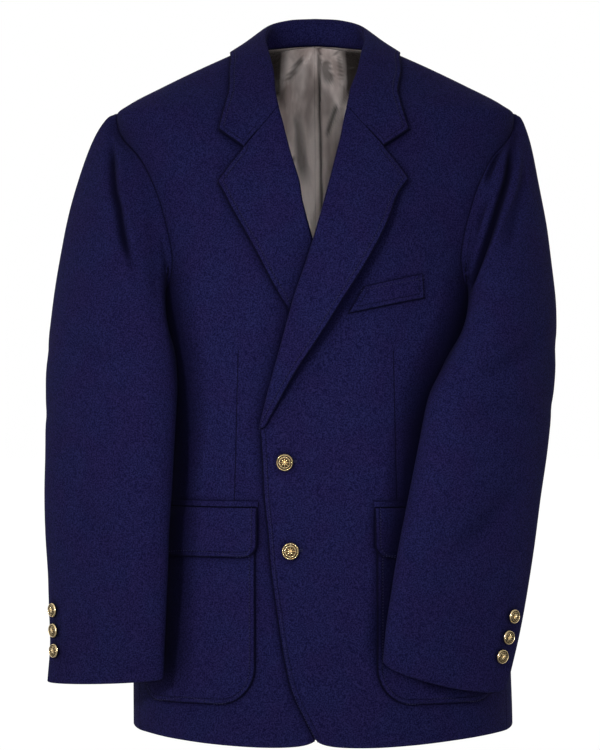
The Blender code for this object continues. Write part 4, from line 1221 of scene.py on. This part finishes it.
def lining(side, pairs, finishes):
    """Back lining, hung loosely inside the back panel, finest where it shows."""
    rows, columns = pairs.shape[:2]
    near, neck = rows - 36, rows - 17
    up = np.concatenate([np.arange(4, near), np.linspace(near, neck, 40),
                         np.linspace(neck + 0.1, rows - 1, 130)])
    along = np.concatenate([np.linspace(0, 24, 110), np.arange(25, columns)])
    pairs = between(between(pairs, up).swapaxes(0, 1), along).swapaxes(0, 1)
    c, z = pairs[..., 0], pairs[..., 1]
    point, normal = body(side, c, z)
    flat = point[..., ::2] * (side, 1)
    wave = drift(point * (2.2, 1.0, 0.8), 0.05)
    for on, *fold in LINING_FOLDS:
        if on == side:
            wave = wave + trough(flat, *fold)
    hung = smoothstep((z[-1:] - z) / 2.2)
    depth = -LINING_DEPTH - hung * np.maximum(LINING_LOOSE + wave, 0.0)
    # Painted shade: up to 0.42 it follows how deep a crease is; beyond 0.46 it darkens
    # the cloth beside the facings, where they stand in the way of the light.
    creased = np.clip(1.6 * (-0.03 - wave), 0.0, 0.42)
    x, z = point[..., 0], point[..., 2]
    beside = np.minimum(np.abs(x - LIT_X) - LIT_HALF, 0.6 * (z - LIT_Z))
    shade = np.maximum(creased, np.clip(0.5 + beside / 2.0, 0.0, 1.0))
    outer = point + normal * depth[..., None]
    cloth("lining_" + WORDS[side], outer, surface_normals(outer, normal), LINING_WALL,
          finishes, "hung", ["back_" + WORDS[side]], slot="lining", seam=0.0,
          edge=line_distance(outer, outer[:, 0], 2), fold=shade)


# ---------------- buttons

def button_dome(r):
    return 0.80 + 0.12 * (1.0 - (r / 0.80) ** 2)


def button_height(r, turn):
    """Stamped face of a blazer button: rope rim, wreath and an eight-point star."""
    rim = 0.20 * np.exp(-((r - 0.90) / 0.055) ** 2)
    rope = 0.035 * np.sin(30 * turn + 24 * r) * np.exp(-((r - 0.90) / 0.05) ** 2)
    gutter = -0.10 * np.exp(-((r - 0.79) / 0.035) ** 2)
    leaves = np.maximum(np.sin(11 * turn + 9 * np.abs(r - 0.64) * 8), 0.0)
    wreath = 0.11 * leaves * np.exp(-((r - 0.64) / 0.07) ** 2)
    reach = 0.20 + 0.30 * np.abs(np.cos(4 * turn)) ** 3
    star = 0.15 * smoothstep((reach - r) / 0.07)
    star = star * (1.0 - 0.5 * np.abs(np.sin(8 * turn)))
    boss = 0.10 * smoothstep((0.11 - r) / 0.05)
    fall = -0.32 * smoothstep((r - 0.92) / 0.08)
    return (button_dome(r) * 0.86 + rim * 0.6 + rope + gutter + wreath + star + boss
            + fall)


def button(name, shape, seat, facing, brass):
    """Domed metal button on its shank, stamped on its face."""
    radii = np.concatenate([np.linspace(0.03, 0.84, 30), np.linspace(0.86, 1.0, 9)])
    segments = 96
    turns = np.arange(segments) * 2 * math.pi / segments
    levels = [(r, np.clip(button_height(r, turns), 0.50, 1.0)) for r in radii]
    levels += [(r, np.full(segments, h)) for r, h in BUTTON_PROFILE]
    rings = [np.stack([r * np.cos(turns), r * np.sin(turns), heights], axis=-1)
             for r, heights in levels]
    points = np.concatenate([[(0.0, 0.0, float(button_height(0.0, 0.0)))], *rings,
                             [(0.0, 0.0, 0.0)]])
    faces = []
    for k in range(segments):
        n = (k + 1) % segments
        faces.append((0, 1 + k, 1 + n))
        for low in range(1, 1 + (len(rings) - 1) * segments, segments):
            faces.append((low + k, low + segments + k, low + segments + n, low + n))
        last = 1 + (len(rings) - 1) * segments
        faces.append((last + n, last + k, len(points) - 1))
    mesh = bpy.data.meshes.new(name)
    scale = np.array((shape["radius"], shape["radius"], shape["height"])) * CM
    turn_to = Vector(facing).to_track_quat("Z", "Y").to_matrix()
    seat = Vector(seat) * CM + Vector(facing) * BUTTON_ROOM * CM
    mesh.from_pydata([seat + turn_to @ Vector(p) for p in points * scale], [], faces)
    mesh.polygons.foreach_set("use_smooth", np.ones(len(faces), bool))
    reach = np.hypot(points[:, 0], points[:, 1])
    relief = points[:, 2] - 0.86 * button_dome(reach)
    patina_and_rim_shade = np.clip(0.75 - 7.0 * relief, 0.0, np.where(reach > 0.86, 0.0, 1.0))
    # Painted shade: the outer wall of the rim is darkened all round, as the shadow
    # about the button.
    patina_and_rim_shade = np.where((reach > 0.97) & (points[:, 2] < 0.70), 1.0, patina_and_rim_shade)
    store(mesh, "patina_and_rim_shade", patina_and_rim_shade)
    mesh.materials.append(brass)
    mesh.validate()
    work = bmesh.new()
    work.from_mesh(mesh)
    bmesh.ops.recalc_face_normals(work, faces=work.faces)
    work.to_mesh(mesh)
    work.free()
    made = linked(name + "_stamped", mesh)
    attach(made, "root")
    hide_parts(name)


def seat_on(piece, near, facing):
    """Where a line along facing through near meets the outside of a piece."""
    mesh = piece.data
    tree = BVHTree.FromPolygons([v.co / CM for v in mesh.vertices],
                                [p.vertices for p in mesh.polygons])
    facing = Vector(facing).normalized()
    return tree.ray_cast(Vector(near) + facing * 12.0, -facing)[:2]


# ---------------- stitches

def add(tree, kind, *values, **named):
    """One node, new or given; settings are in small letters, inputs are the rest.

    An input takes a plain value, a socket, or a node for its first output in use.
    """
    made = tree.nodes.new(kind) if isinstance(kind, str) else kind
    for key in [key for key in named if key.islower()]:
        setattr(made, key, named.pop(key))
    for key, value in [*enumerate(values), *named.items()]:
        key = key.replace("_", " ") if isinstance(key, str) else key
        if isinstance(value, bpy.types.Node):
            value = next(socket for socket in value.outputs if socket.enabled)
        if isinstance(value, bpy.types.NodeSocket):
            tree.links.new(value, made.inputs[key])
        elif value is not None:
            made.inputs[key].default_value = value
    return made


def stitch_tree(thread):
    """Stitches along lines: resampled to the stitch length, one thread on each."""
    tree = bpy.data.node_groups.new("stitches", "GeometryNodeTree")
    face = tree.interface
    face.new_socket("Geometry", in_out="INPUT", socket_type="NodeSocketGeometry")
    sizes = [face.new_socket(label, in_out="INPUT", socket_type="NodeSocketFloat")
             .identifier for label in ("Pitch", "Length", "Width", "Height")]
    face.new_socket("Geometry", in_out="OUTPUT", socket_type="NodeSocketGeometry")
    node = partial(add, tree)
    start = node("NodeGroupInput").outputs
    curve = node("GeometryNodeMeshToCurve", start["Geometry"])
    even = node("GeometryNodeResampleCurve", curve, mode="LENGTH",
                Length=start["Pitch"])
    lie = node("GeometryNodeInputNamedAttribute", data_type="FLOAT_VECTOR", Name="lie")
    tangent = node("GeometryNodeInputTangent")
    turn = node("FunctionNodeAxesToRotation", primary_axis="X", secondary_axis="Z",
                Primary_Axis=tangent, Secondary_Axis=lie)
    ball = node("GeometryNodeMeshUVSphere", Segments=6, Rings=4, Radius=0.5)
    size = node("ShaderNodeCombineXYZ", start["Length"], start["Width"],
                start["Height"])
    vary = node("FunctionNodeRandomValue", data_type="FLOAT_VECTOR",
                Min=(0.85, 0.9, 0.9), Max=(1.12, 1.1, 1.1), Seed=7)
    scale = node(VECTOR, size, vary, operation="MULTIPLY")
    sewn = node("GeometryNodeInstanceOnPoints", even, Instance=ball, Rotation=turn,
                Scale=scale)
    real = node("GeometryNodeRealizeInstances", sewn)
    done = node("GeometryNodeSetMaterial", real, Material=thread)
    node("NodeGroupOutput", done)
    return tree, sizes


def sew(name, lines, stitches, values):
    """A piece of stitches along lines of points and outward directions."""
    tree, sizes = stitches
    points, lies, edges = [], [], []
    for line, outs in lines:
        first = len(points)
        points += (line * CM).tolist()
        lies += outs.tolist()
        edges += [(first + k, first + k + 1) for k in range(len(line) - 1)]
    mesh = bpy.data.meshes.new(name + "_lines")
    mesh.from_pydata(points, edges, [])
    store(mesh, "lie", lies, "FLOAT_VECTOR", "vector")
    guide = linked(name + "_lines", mesh)
    laid = guide.modifiers.new("stitches", "NODES")
    laid.node_group = tree
    for size, value in zip(sizes, values):
        laid[size] = value
    bpy.context.view_layer.update()
    ready = guide.evaluated_get(bpy.context.evaluated_depsgraph_get())
    made = linked(name, bpy.data.meshes.new_from_object(ready))
    bpy.data.objects.remove(guide, do_unlink=True)
    made.data.polygons.foreach_set("use_smooth", np.ones(len(made.data.polygons), bool))
    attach(made, "root")


def inset_line(points, normals, distance=STITCH_INSET):
    """Line on a grid at a distance from its last column, row by row."""
    line = []
    outs = []
    for row, out in zip(points[:, ::-1], normals[:, ::-1]):
        place, out = ([np.interp(distance, run(row), values[:, k]) for k in range(3)]
                      for values in (row, out))
        line.append(np.array(place) + np.array(out) * STITCH_LIFT)
        outs.append(out)
    return np.array(line), np.array(outs)


def edge_lines(points, normals):
    """Inset lines along the left, bottom and right borders of a grid."""
    return [inset_line(points[:, ::-1], normals[:, ::-1]),
            inset_line(points.swapaxes(0, 1), normals.swapaxes(0, 1)),
            inset_line(points, normals)]


# ---------------- finishes

MATH = "ShaderNodeMath"
STORED = "ShaderNodeAttribute"
PATH = "ShaderNodeLightPath"
MIX = "ShaderNodeMix"
RANGE = "ShaderNodeMapRange"
NOISE = "ShaderNodeTexNoise"
VECTOR = "ShaderNodeVectorMath"


def linear(text):
    """sRGB hex colour as linear values."""
    values = [int(text[i:i + 2], 16) / 255 for i in (1, 3, 5)]
    return tuple(v / 12.92 if v <= 0.04045 else ((v + 0.055) / 1.055) ** 2.4
                 for v in values) + (1.0,)


def finish(name, **sockets):
    """A named material whose shader has these plain values, and how to add to it."""
    made = bpy.data.materials.new(name)
    made.use_nodes = True
    node = partial(add, made.node_tree)
    shader = node(made.node_tree.nodes["Principled BSDF"], **sockets)
    return made, node, shader, node("ShaderNodeTexCoord").outputs["Object"]


def sewn_line(node, name, centre, width):
    """One on a line at a distance kept in an attribute, nothing beyond its width."""
    distance = node(STORED, attribute_name=name).outputs["Fac"]
    off = node(MATH, distance, centre, operation="SUBTRACT")
    off = node(MATH, off, operation="ABSOLUTE")
    return node(RANGE, off, None, width, 1.0, 0.0, interpolation_type="SMOOTHSTEP")


def wool_hopsack(name, dark, light, stitched):
    """Navy worsted wool in a hopsack weave, sponged and pressed.

    Two threads by two lie over and under, which gives the eye a matt, dry and
    slightly speckled blue with no shine.  Real blocks are about 1 mm across; they
    are drawn at 1.7 mm so that they still show from a few metres.
    """
    made, node, shader, spot = finish(
        name, Roughness=0.9, Specular_IOR_Level=0.08, Sheen_Weight=0.02,
        Sheen_Roughness=0.5, Sheen_Tint=linear("#6a6aa8"))
    block = 0.0017
    wander = node(NOISE, spot, Scale=210.0, Detail=2.0).outputs["Color"]
    wander = node(VECTOR, wander, (0.0016,) * 3, (-0.0008,) * 3,
                  operation="MULTIPLY_ADD")
    flat = node("ShaderNodeUVMap", uv_map="cloth")
    threads = node(VECTOR, flat, wander, operation="ADD")
    waves = node(VECTOR, threads, operation="SCALE", Scale=2 * math.pi / block)
    waves = node(VECTOR, waves, operation="SINE")
    waves = node(VECTOR, waves, operation="ABSOLUTE")
    waves = node("ShaderNodeSeparateXYZ", waves).outputs
    over = node("ShaderNodeTexChecker", threads, Scale=1.0 / block).outputs["Fac"]
    weave = node(MIX, over, data_type="FLOAT", A=waves[0], B=waves[1])
    # Dyed fibres differ a little from thread to thread, 1 to 3 mm apart.
    grain = node(NOISE, spot, Scale=700.0, Detail=3.0, Roughness=0.65)
    fuzz = node(NOISE, spot, Scale=2400.0, Detail=2.0, Roughness=0.6)
    # Handling leaves broad, faint patches a few centimetres across.
    worn = node(NOISE, spot, Scale=24.0, Detail=2.0)
    tone = node(RANGE, grain, 0.42, 0.60, 0.0, 0.85)
    tone = node(MATH, weave, 0.30, tone, operation="MULTIPLY_ADD")
    worn = node(RANGE, worn, 0.38, 0.62)
    threads = node(MIX, worn, data_type="RGBA", A=linear("#2a2556"), B=linear(light))
    colour = node(MIX, tone, data_type="RGBA", A=linear(dark), B=threads)
    # Sewing and pressing leave grooves at the darts and along the edges, drawn as
    # bumps; the colour is darkened along them as painted shade, most at the open edges.
    sewn = node(STORED, attribute_name="dart_sewn").outputs["Fac"]
    dart = node(MATH, sewn_line(node, "dart", 0.0, 0.10), sewn, operation="MULTIPLY")
    groove = node(MATH, sewn_line(node, "edge", 0.55, 0.13), 0.6 * stitched,
                  operation="MULTIPLY")
    # Painted shade along the open edge of a stitched piece.
    painted_edge_shade = node(MATH, sewn_line(node, "edge", 0.0, 0.20), stitched,
                       operation="MULTIPLY")
    pressed = node(MATH, dart, groove, operation="MAXIMUM")
    pressed = node(MATH, pressed, painted_edge_shade, operation="MAXIMUM")
    shade = node(MATH, pressed, 0.8, operation="MULTIPLY")
    colour = node(MIX, shade, data_type="RGBA", A=colour, B=linear("#040312"))
    # Painted shade: the colour falls towards near-black where cloth lies close to
    # cloth, by ambient occlusion, and in the folds of the sleeves, by their fold
    # attribute.
    near = node("ShaderNodeAmbientOcclusion", samples=8, Distance=0.035).outputs["AO"]
    near = node(MATH, near, 2.5, operation="POWER")
    fold = node(STORED, attribute_name="fold").outputs["Fac"]
    fold = node(RANGE, fold, 0.06, 0.60, 1.0, 0.06, interpolation_type="SMOOTHSTEP")
    near = node(MATH, near, fold, operation="MULTIPLY")
    colour = node(MIX, near, data_type="RGBA", A=linear("#020118"), B=colour)
    height = grain
    for part, amount in ((weave, 0.5), (fuzz, 0.25), (pressed, -1.8)):
        height = node(MATH, part, amount, height, operation="MULTIPLY_ADD")
    bump = node("ShaderNodeBump", Strength=0.6, Distance=0.0005, Height=height)
    node(shader, Base_Color=colour, Normal=bump)
    return made


def lining_satin(name, dark, light):
    """Grey-brown viscose satin, woven and calendered: smooth, softly shiny, creased.

    The eye sees slow glints along its folds.  The twill is drawn at 1.2 mm, about
    twice its real pitch, and the creases are 5 to 30 mm long, mostly upright.
    """
    made, node, shader, spot = finish(
        name, Roughness=0.34, Specular_IOR_Level=0.45, Sheen_Weight=0.02)
    flat = node("ShaderNodeUVMap", uv_map="cloth")
    flat = node("ShaderNodeSeparateXYZ", flat).outputs
    twill = node(MATH, flat[0], flat[1], operation="ADD")
    twill = node(MATH, twill, 2 * math.pi / 0.0012, operation="MULTIPLY")
    twill = node(MATH, twill, operation="SINE")
    hung = node("ShaderNodeMapping", spot, Scale=(1.0, 1.0, 0.25))
    creases = node(NOISE, hung, Scale=100.0, Detail=4.0, Roughness=0.6)
    clouds = node(NOISE, hung, Scale=34.0, Detail=3.0)
    tone = node(RANGE, clouds, 0.40, 0.58)
    colour = node(MIX, tone, data_type="RGBA", A=linear(dark), B=linear(light))
    # Little light reaches the bottom of a crease or the cloth beside the facings.
    near = node("ShaderNodeAmbientOcclusion", samples=8, Distance=0.03).outputs["AO"]
    near = node(MATH, near, 0.9, operation="POWER")
    fold = node(STORED, attribute_name="fold").outputs["Fac"]
    beside = node(RANGE, fold, 0.46, 0.60, 1.0, 0.08)
    deep = node(RANGE, fold, 0.03, 0.42, 1.0, 0.30)
    fold = node(MATH, beside, deep, operation="MULTIPLY")
    near = node(MATH, near, fold, operation="MULTIPLY")
    colour = node(MIX, near, data_type="RGBA", A=linear("#150c09"), B=colour)
    sharp = node(NOISE, hung, noise_type="RIDGED_MULTIFRACTAL", Scale=26.0, Detail=3.0)
    height = node(MATH, sharp, 0.35, creases, operation="MULTIPLY_ADD")
    height = node(MATH, twill, 0.02, height, operation="MULTIPLY_ADD")
    bump = node("ShaderNodeBump", Strength=1.0, Distance=0.0045, Height=height)
    node(shader, Base_Color=colour, Normal=bump)
    return made


def stamped_brass(name, bright, dark):
    """Brass, stamped and gilt: bright on the relief, browned in the hollows, and
    darkened on the outer wall of the rim as painted shade.
    """
    made, node, shader, spot = finish(name, Metallic=1.0)
    patina_and_rim_shade = node(STORED, attribute_name="patina_and_rim_shade").outputs["Fac"]
    spots = node(NOISE, spot, Scale=900.0, Detail=3.0)
    share = node(MATH, spots, 0.3, patina_and_rim_shade, operation="MULTIPLY_ADD")
    share = node(RANGE, share, 0.35, 0.95, interpolation_type="SMOOTHSTEP")
    colour = node(MIX, share, data_type="RGBA", A=linear(bright), B=linear(dark))
    rough = node(MATH, share, 0.30, 0.20, operation="MULTIPLY_ADD")
    bump = node("ShaderNodeBump", Strength=0.25, Distance=0.0001, Height=spots)
    node(shader, Base_Color=colour, Roughness=rough, Normal=bump)
    return made


def silk_thread(name, dark, light):
    """Twisted navy silk thread: a little lighter than the wool and faintly shiny."""
    made, node, shader, spot = finish(name, Roughness=0.55, Specular_IOR_Level=0.4)
    twist = node(NOISE, spot, Scale=1500.0, Detail=2.0)
    colour = node(MIX, twist, data_type="RGBA", A=linear(dark), B=linear(light))
    bump = node("ShaderNodeBump", Strength=0.3, Distance=0.0001, Height=twist)
    node(shader, Base_Color=colour, Normal=bump)
    return made


def painted_floor(name):
    """Matt white painted floor, lit evenly: plain white but for a faint shadow."""
    made, node, shader, spot = finish(name, Roughness=0.9)
    cloud = node(NOISE, spot, Scale=1.2, Detail=2.0)
    colour = node(MIX, cloud, data_type="RGBA", A=linear("#f4f4f4"),
                  B=linear("#fbfbfb"))
    node(shader, Base_Color=colour)
    near = node(VECTOR, spot, operation="LENGTH").outputs["Value"]
    near = node(RANGE, near, 0.82, 1.05, 0.97, 1.0, interpolation_type="SMOOTHSTEP")
    seen = node(PATH).outputs["Is Camera Ray"]
    share = node(MATH, near, seen, operation="MULTIPLY")
    glow = node("ShaderNodeEmission", linear("#ffffff"), 1.02)
    mixed = node("ShaderNodeMixShader", share, shader, glow)
    node(made.node_tree.nodes["Material Output"], Surface=mixed)
    return made


# ---------------- studio

CAMERA = (-0.0167, -3.2, -0.359)
MIDDLE = (0.0, 0.0, -0.38)
FLOOR_Z, FLOOR_RADIUS, FLOOR_SIDES = -0.80, 12, 64
LIGHTS = (  # name, place, width and height, watts, spread in degrees
    ("key", (-1.6, -2.8, 0.50), (0.3, 0.35), 2.3, 42.0),
    ("front", (0.05, -3.3, -0.22), (0.3, 0.3), 1.25, 42.0),
    ("fill", (1.1, -3.1, 0.0), (0.5, 0.5), 0.75, 42.0),
    ("top", (0.2, 0.5, 2.2), (1.4, 1.4), 3.0),
    ("back", (-0.3, 3.2, 0.5), (0.9, 1.0), 34.0),
    ("side_left", (-2.8, 1.4, 0.5), (1.2, 1.2), 7.0),
    ("side_right", (2.8, 1.6, 0.3), (1.2, 1.2), 5.0),
)


def soft_light(name, place, size, power, spread=180.0):
    """Rectangular light that looks at the middle of the blazer."""
    data = bpy.data.lights.new(name, "AREA")
    data.shape = "RECTANGLE"
    data.size, data.size_y = size
    data.energy = power
    data.spread = math.radians(spread)
    made = linked(name, data)
    made.location = place
    direction = Vector(MIDDLE) - made.location
    made.rotation_euler = direction.to_track_quat("-Z", "Y").to_euler()


def studio():
    scene = bpy.context.scene
    scene.view_settings.view_transform = "Standard"
    scene.view_settings.look = "None"
    data = bpy.data.cameras.new("camera")
    data.lens = 138.4
    data.sensor_width = 36.0
    camera = linked("camera", data)
    camera.location = CAMERA
    camera.rotation_euler = (math.radians(90), 0.0, 0.0)
    scene.camera = camera
    for light in LIGHTS:
        soft_light(*light)
    world = bpy.data.worlds.new("studio")
    scene.world = world
    world.use_nodes = True
    world.node_tree.nodes.clear()
    node = partial(add, world.node_tree)
    path = node(PATH).outputs
    strength = node(MATH, path["Is Glossy Ray"], 0.85, 0.03, operation="MULTIPLY_ADD")
    soft = node("ShaderNodeBackground", (1, 1, 1, 1), strength)
    white = node("ShaderNodeBackground", (1, 1, 1, 1), 1.0)
    mixed = node("ShaderNodeMixShader", path["Is Camera Ray"], soft, white)
    node("ShaderNodeOutputWorld", mixed)
    mesh = bpy.data.meshes.new("floor")
    turns = np.arange(FLOOR_SIDES) * 2 * math.pi / FLOOR_SIDES
    rim = FLOOR_RADIUS * np.stack([np.cos(turns), np.sin(turns)], axis=-1)
    mesh.from_pydata([(x, y, FLOOR_Z) for x, y in rim], [], [list(range(len(rim)))])
    mesh.materials.append(painted_floor("painted_floor"))
    floor = linked("floor", mesh)


# ---------------- the blazer

def buttonhole(x, z):
    """Lines of a worked buttonhole on the wearer's left front, there and back."""
    xs = np.linspace(x, x + HOLE_LENGTH, 24)
    return [on_front(1, girth(xs, zs), zs, 0.012)
            for zs in (z + shift + 0.0 * xs for shift in (HOLE_HALF, -HOLE_HALF))]


def build():
    wool = wool_hopsack("wool_hopsack", "#03022a", "#282859", 0.0)
    edged = wool_hopsack("wool_hopsack_edge_stitched_and_shaded", "#03022a", "#282859", 1.0)
    satin = lining_satin("lining_satin", "#b9a9a5", "#fbeeea")
    brass = stamped_brass("stamped_brass", "#ffe6b4", "#2a1806")
    thread = silk_thread("silk_thread", "#0b0a26", "#24235a")
    stitches = stitch_tree(thread)
    stitched = []
    fronts = {}
    sleeves = {}
    for side in WORDS:
        fronts[side], outer, normals = front(side, [edged, satin])
        backs = back(side, [wool, satin])
        side_panel(side, [wool, satin])
        shown, outs = lapel(side, [edged])
        pieces = pockets(side, [edged])
        lining(side, backs, [satin])
        sleeves[side] = sleeve(side, [wool, satin])
        stitched.append(inset_line(shown[2:], outs[2:]))
        line, ways = inset_line(*(grid[:, LAPEL_TOP:].swapaxes(0, 1)[:, ::-1]
                                  for grid in (shown, outs)))
        stitched.append((line[1:-6], ways[1:-6]))
        stitched.append(inset_line(outer[:EDGE_ROWS - 4, ::-1],
                                   normals[:EDGE_ROWS - 4, ::-1]))
        for piece in pieces:
            stitched += edge_lines(*piece)
    skin, outs = collar([edged])
    stitched.append(inset_line(skin[3:-3], outs[3:-3]))
    points, outs = breast_welt([edged])
    stitched.append(inset_line(points.swapaxes(0, 1), outs.swapaxes(0, 1),
                               WELT_INSET))
    sew("edge_stitching", stitched, stitches, EDGE_STITCH)
    holes = []
    for number, (x, z) in enumerate(FRONT_BUTTONS, 1):
        near, facing = on_front(1, girth(x, z), z)
        seat, normal = seat_on(fronts[1], near, facing)
        button("front_button_%d" % number, FRONT_BUTTON, seat, normal, brass)
        holes += buttonhole(x - 0.1, z + 0.12)
    sew("buttonholes", holes, stitches, HOLE_STITCH)
    for side, word in WORDS.items():
        for number, near in enumerate(CUFF_BUTTONS[side], 1):
            seat, normal = seat_on(sleeves[side], near, CUFF_FACING[side])
            button("cuff_button_%s_%d" % (word, number), CUFF_BUTTON, seat, normal,
                   brass)


studio()
build()
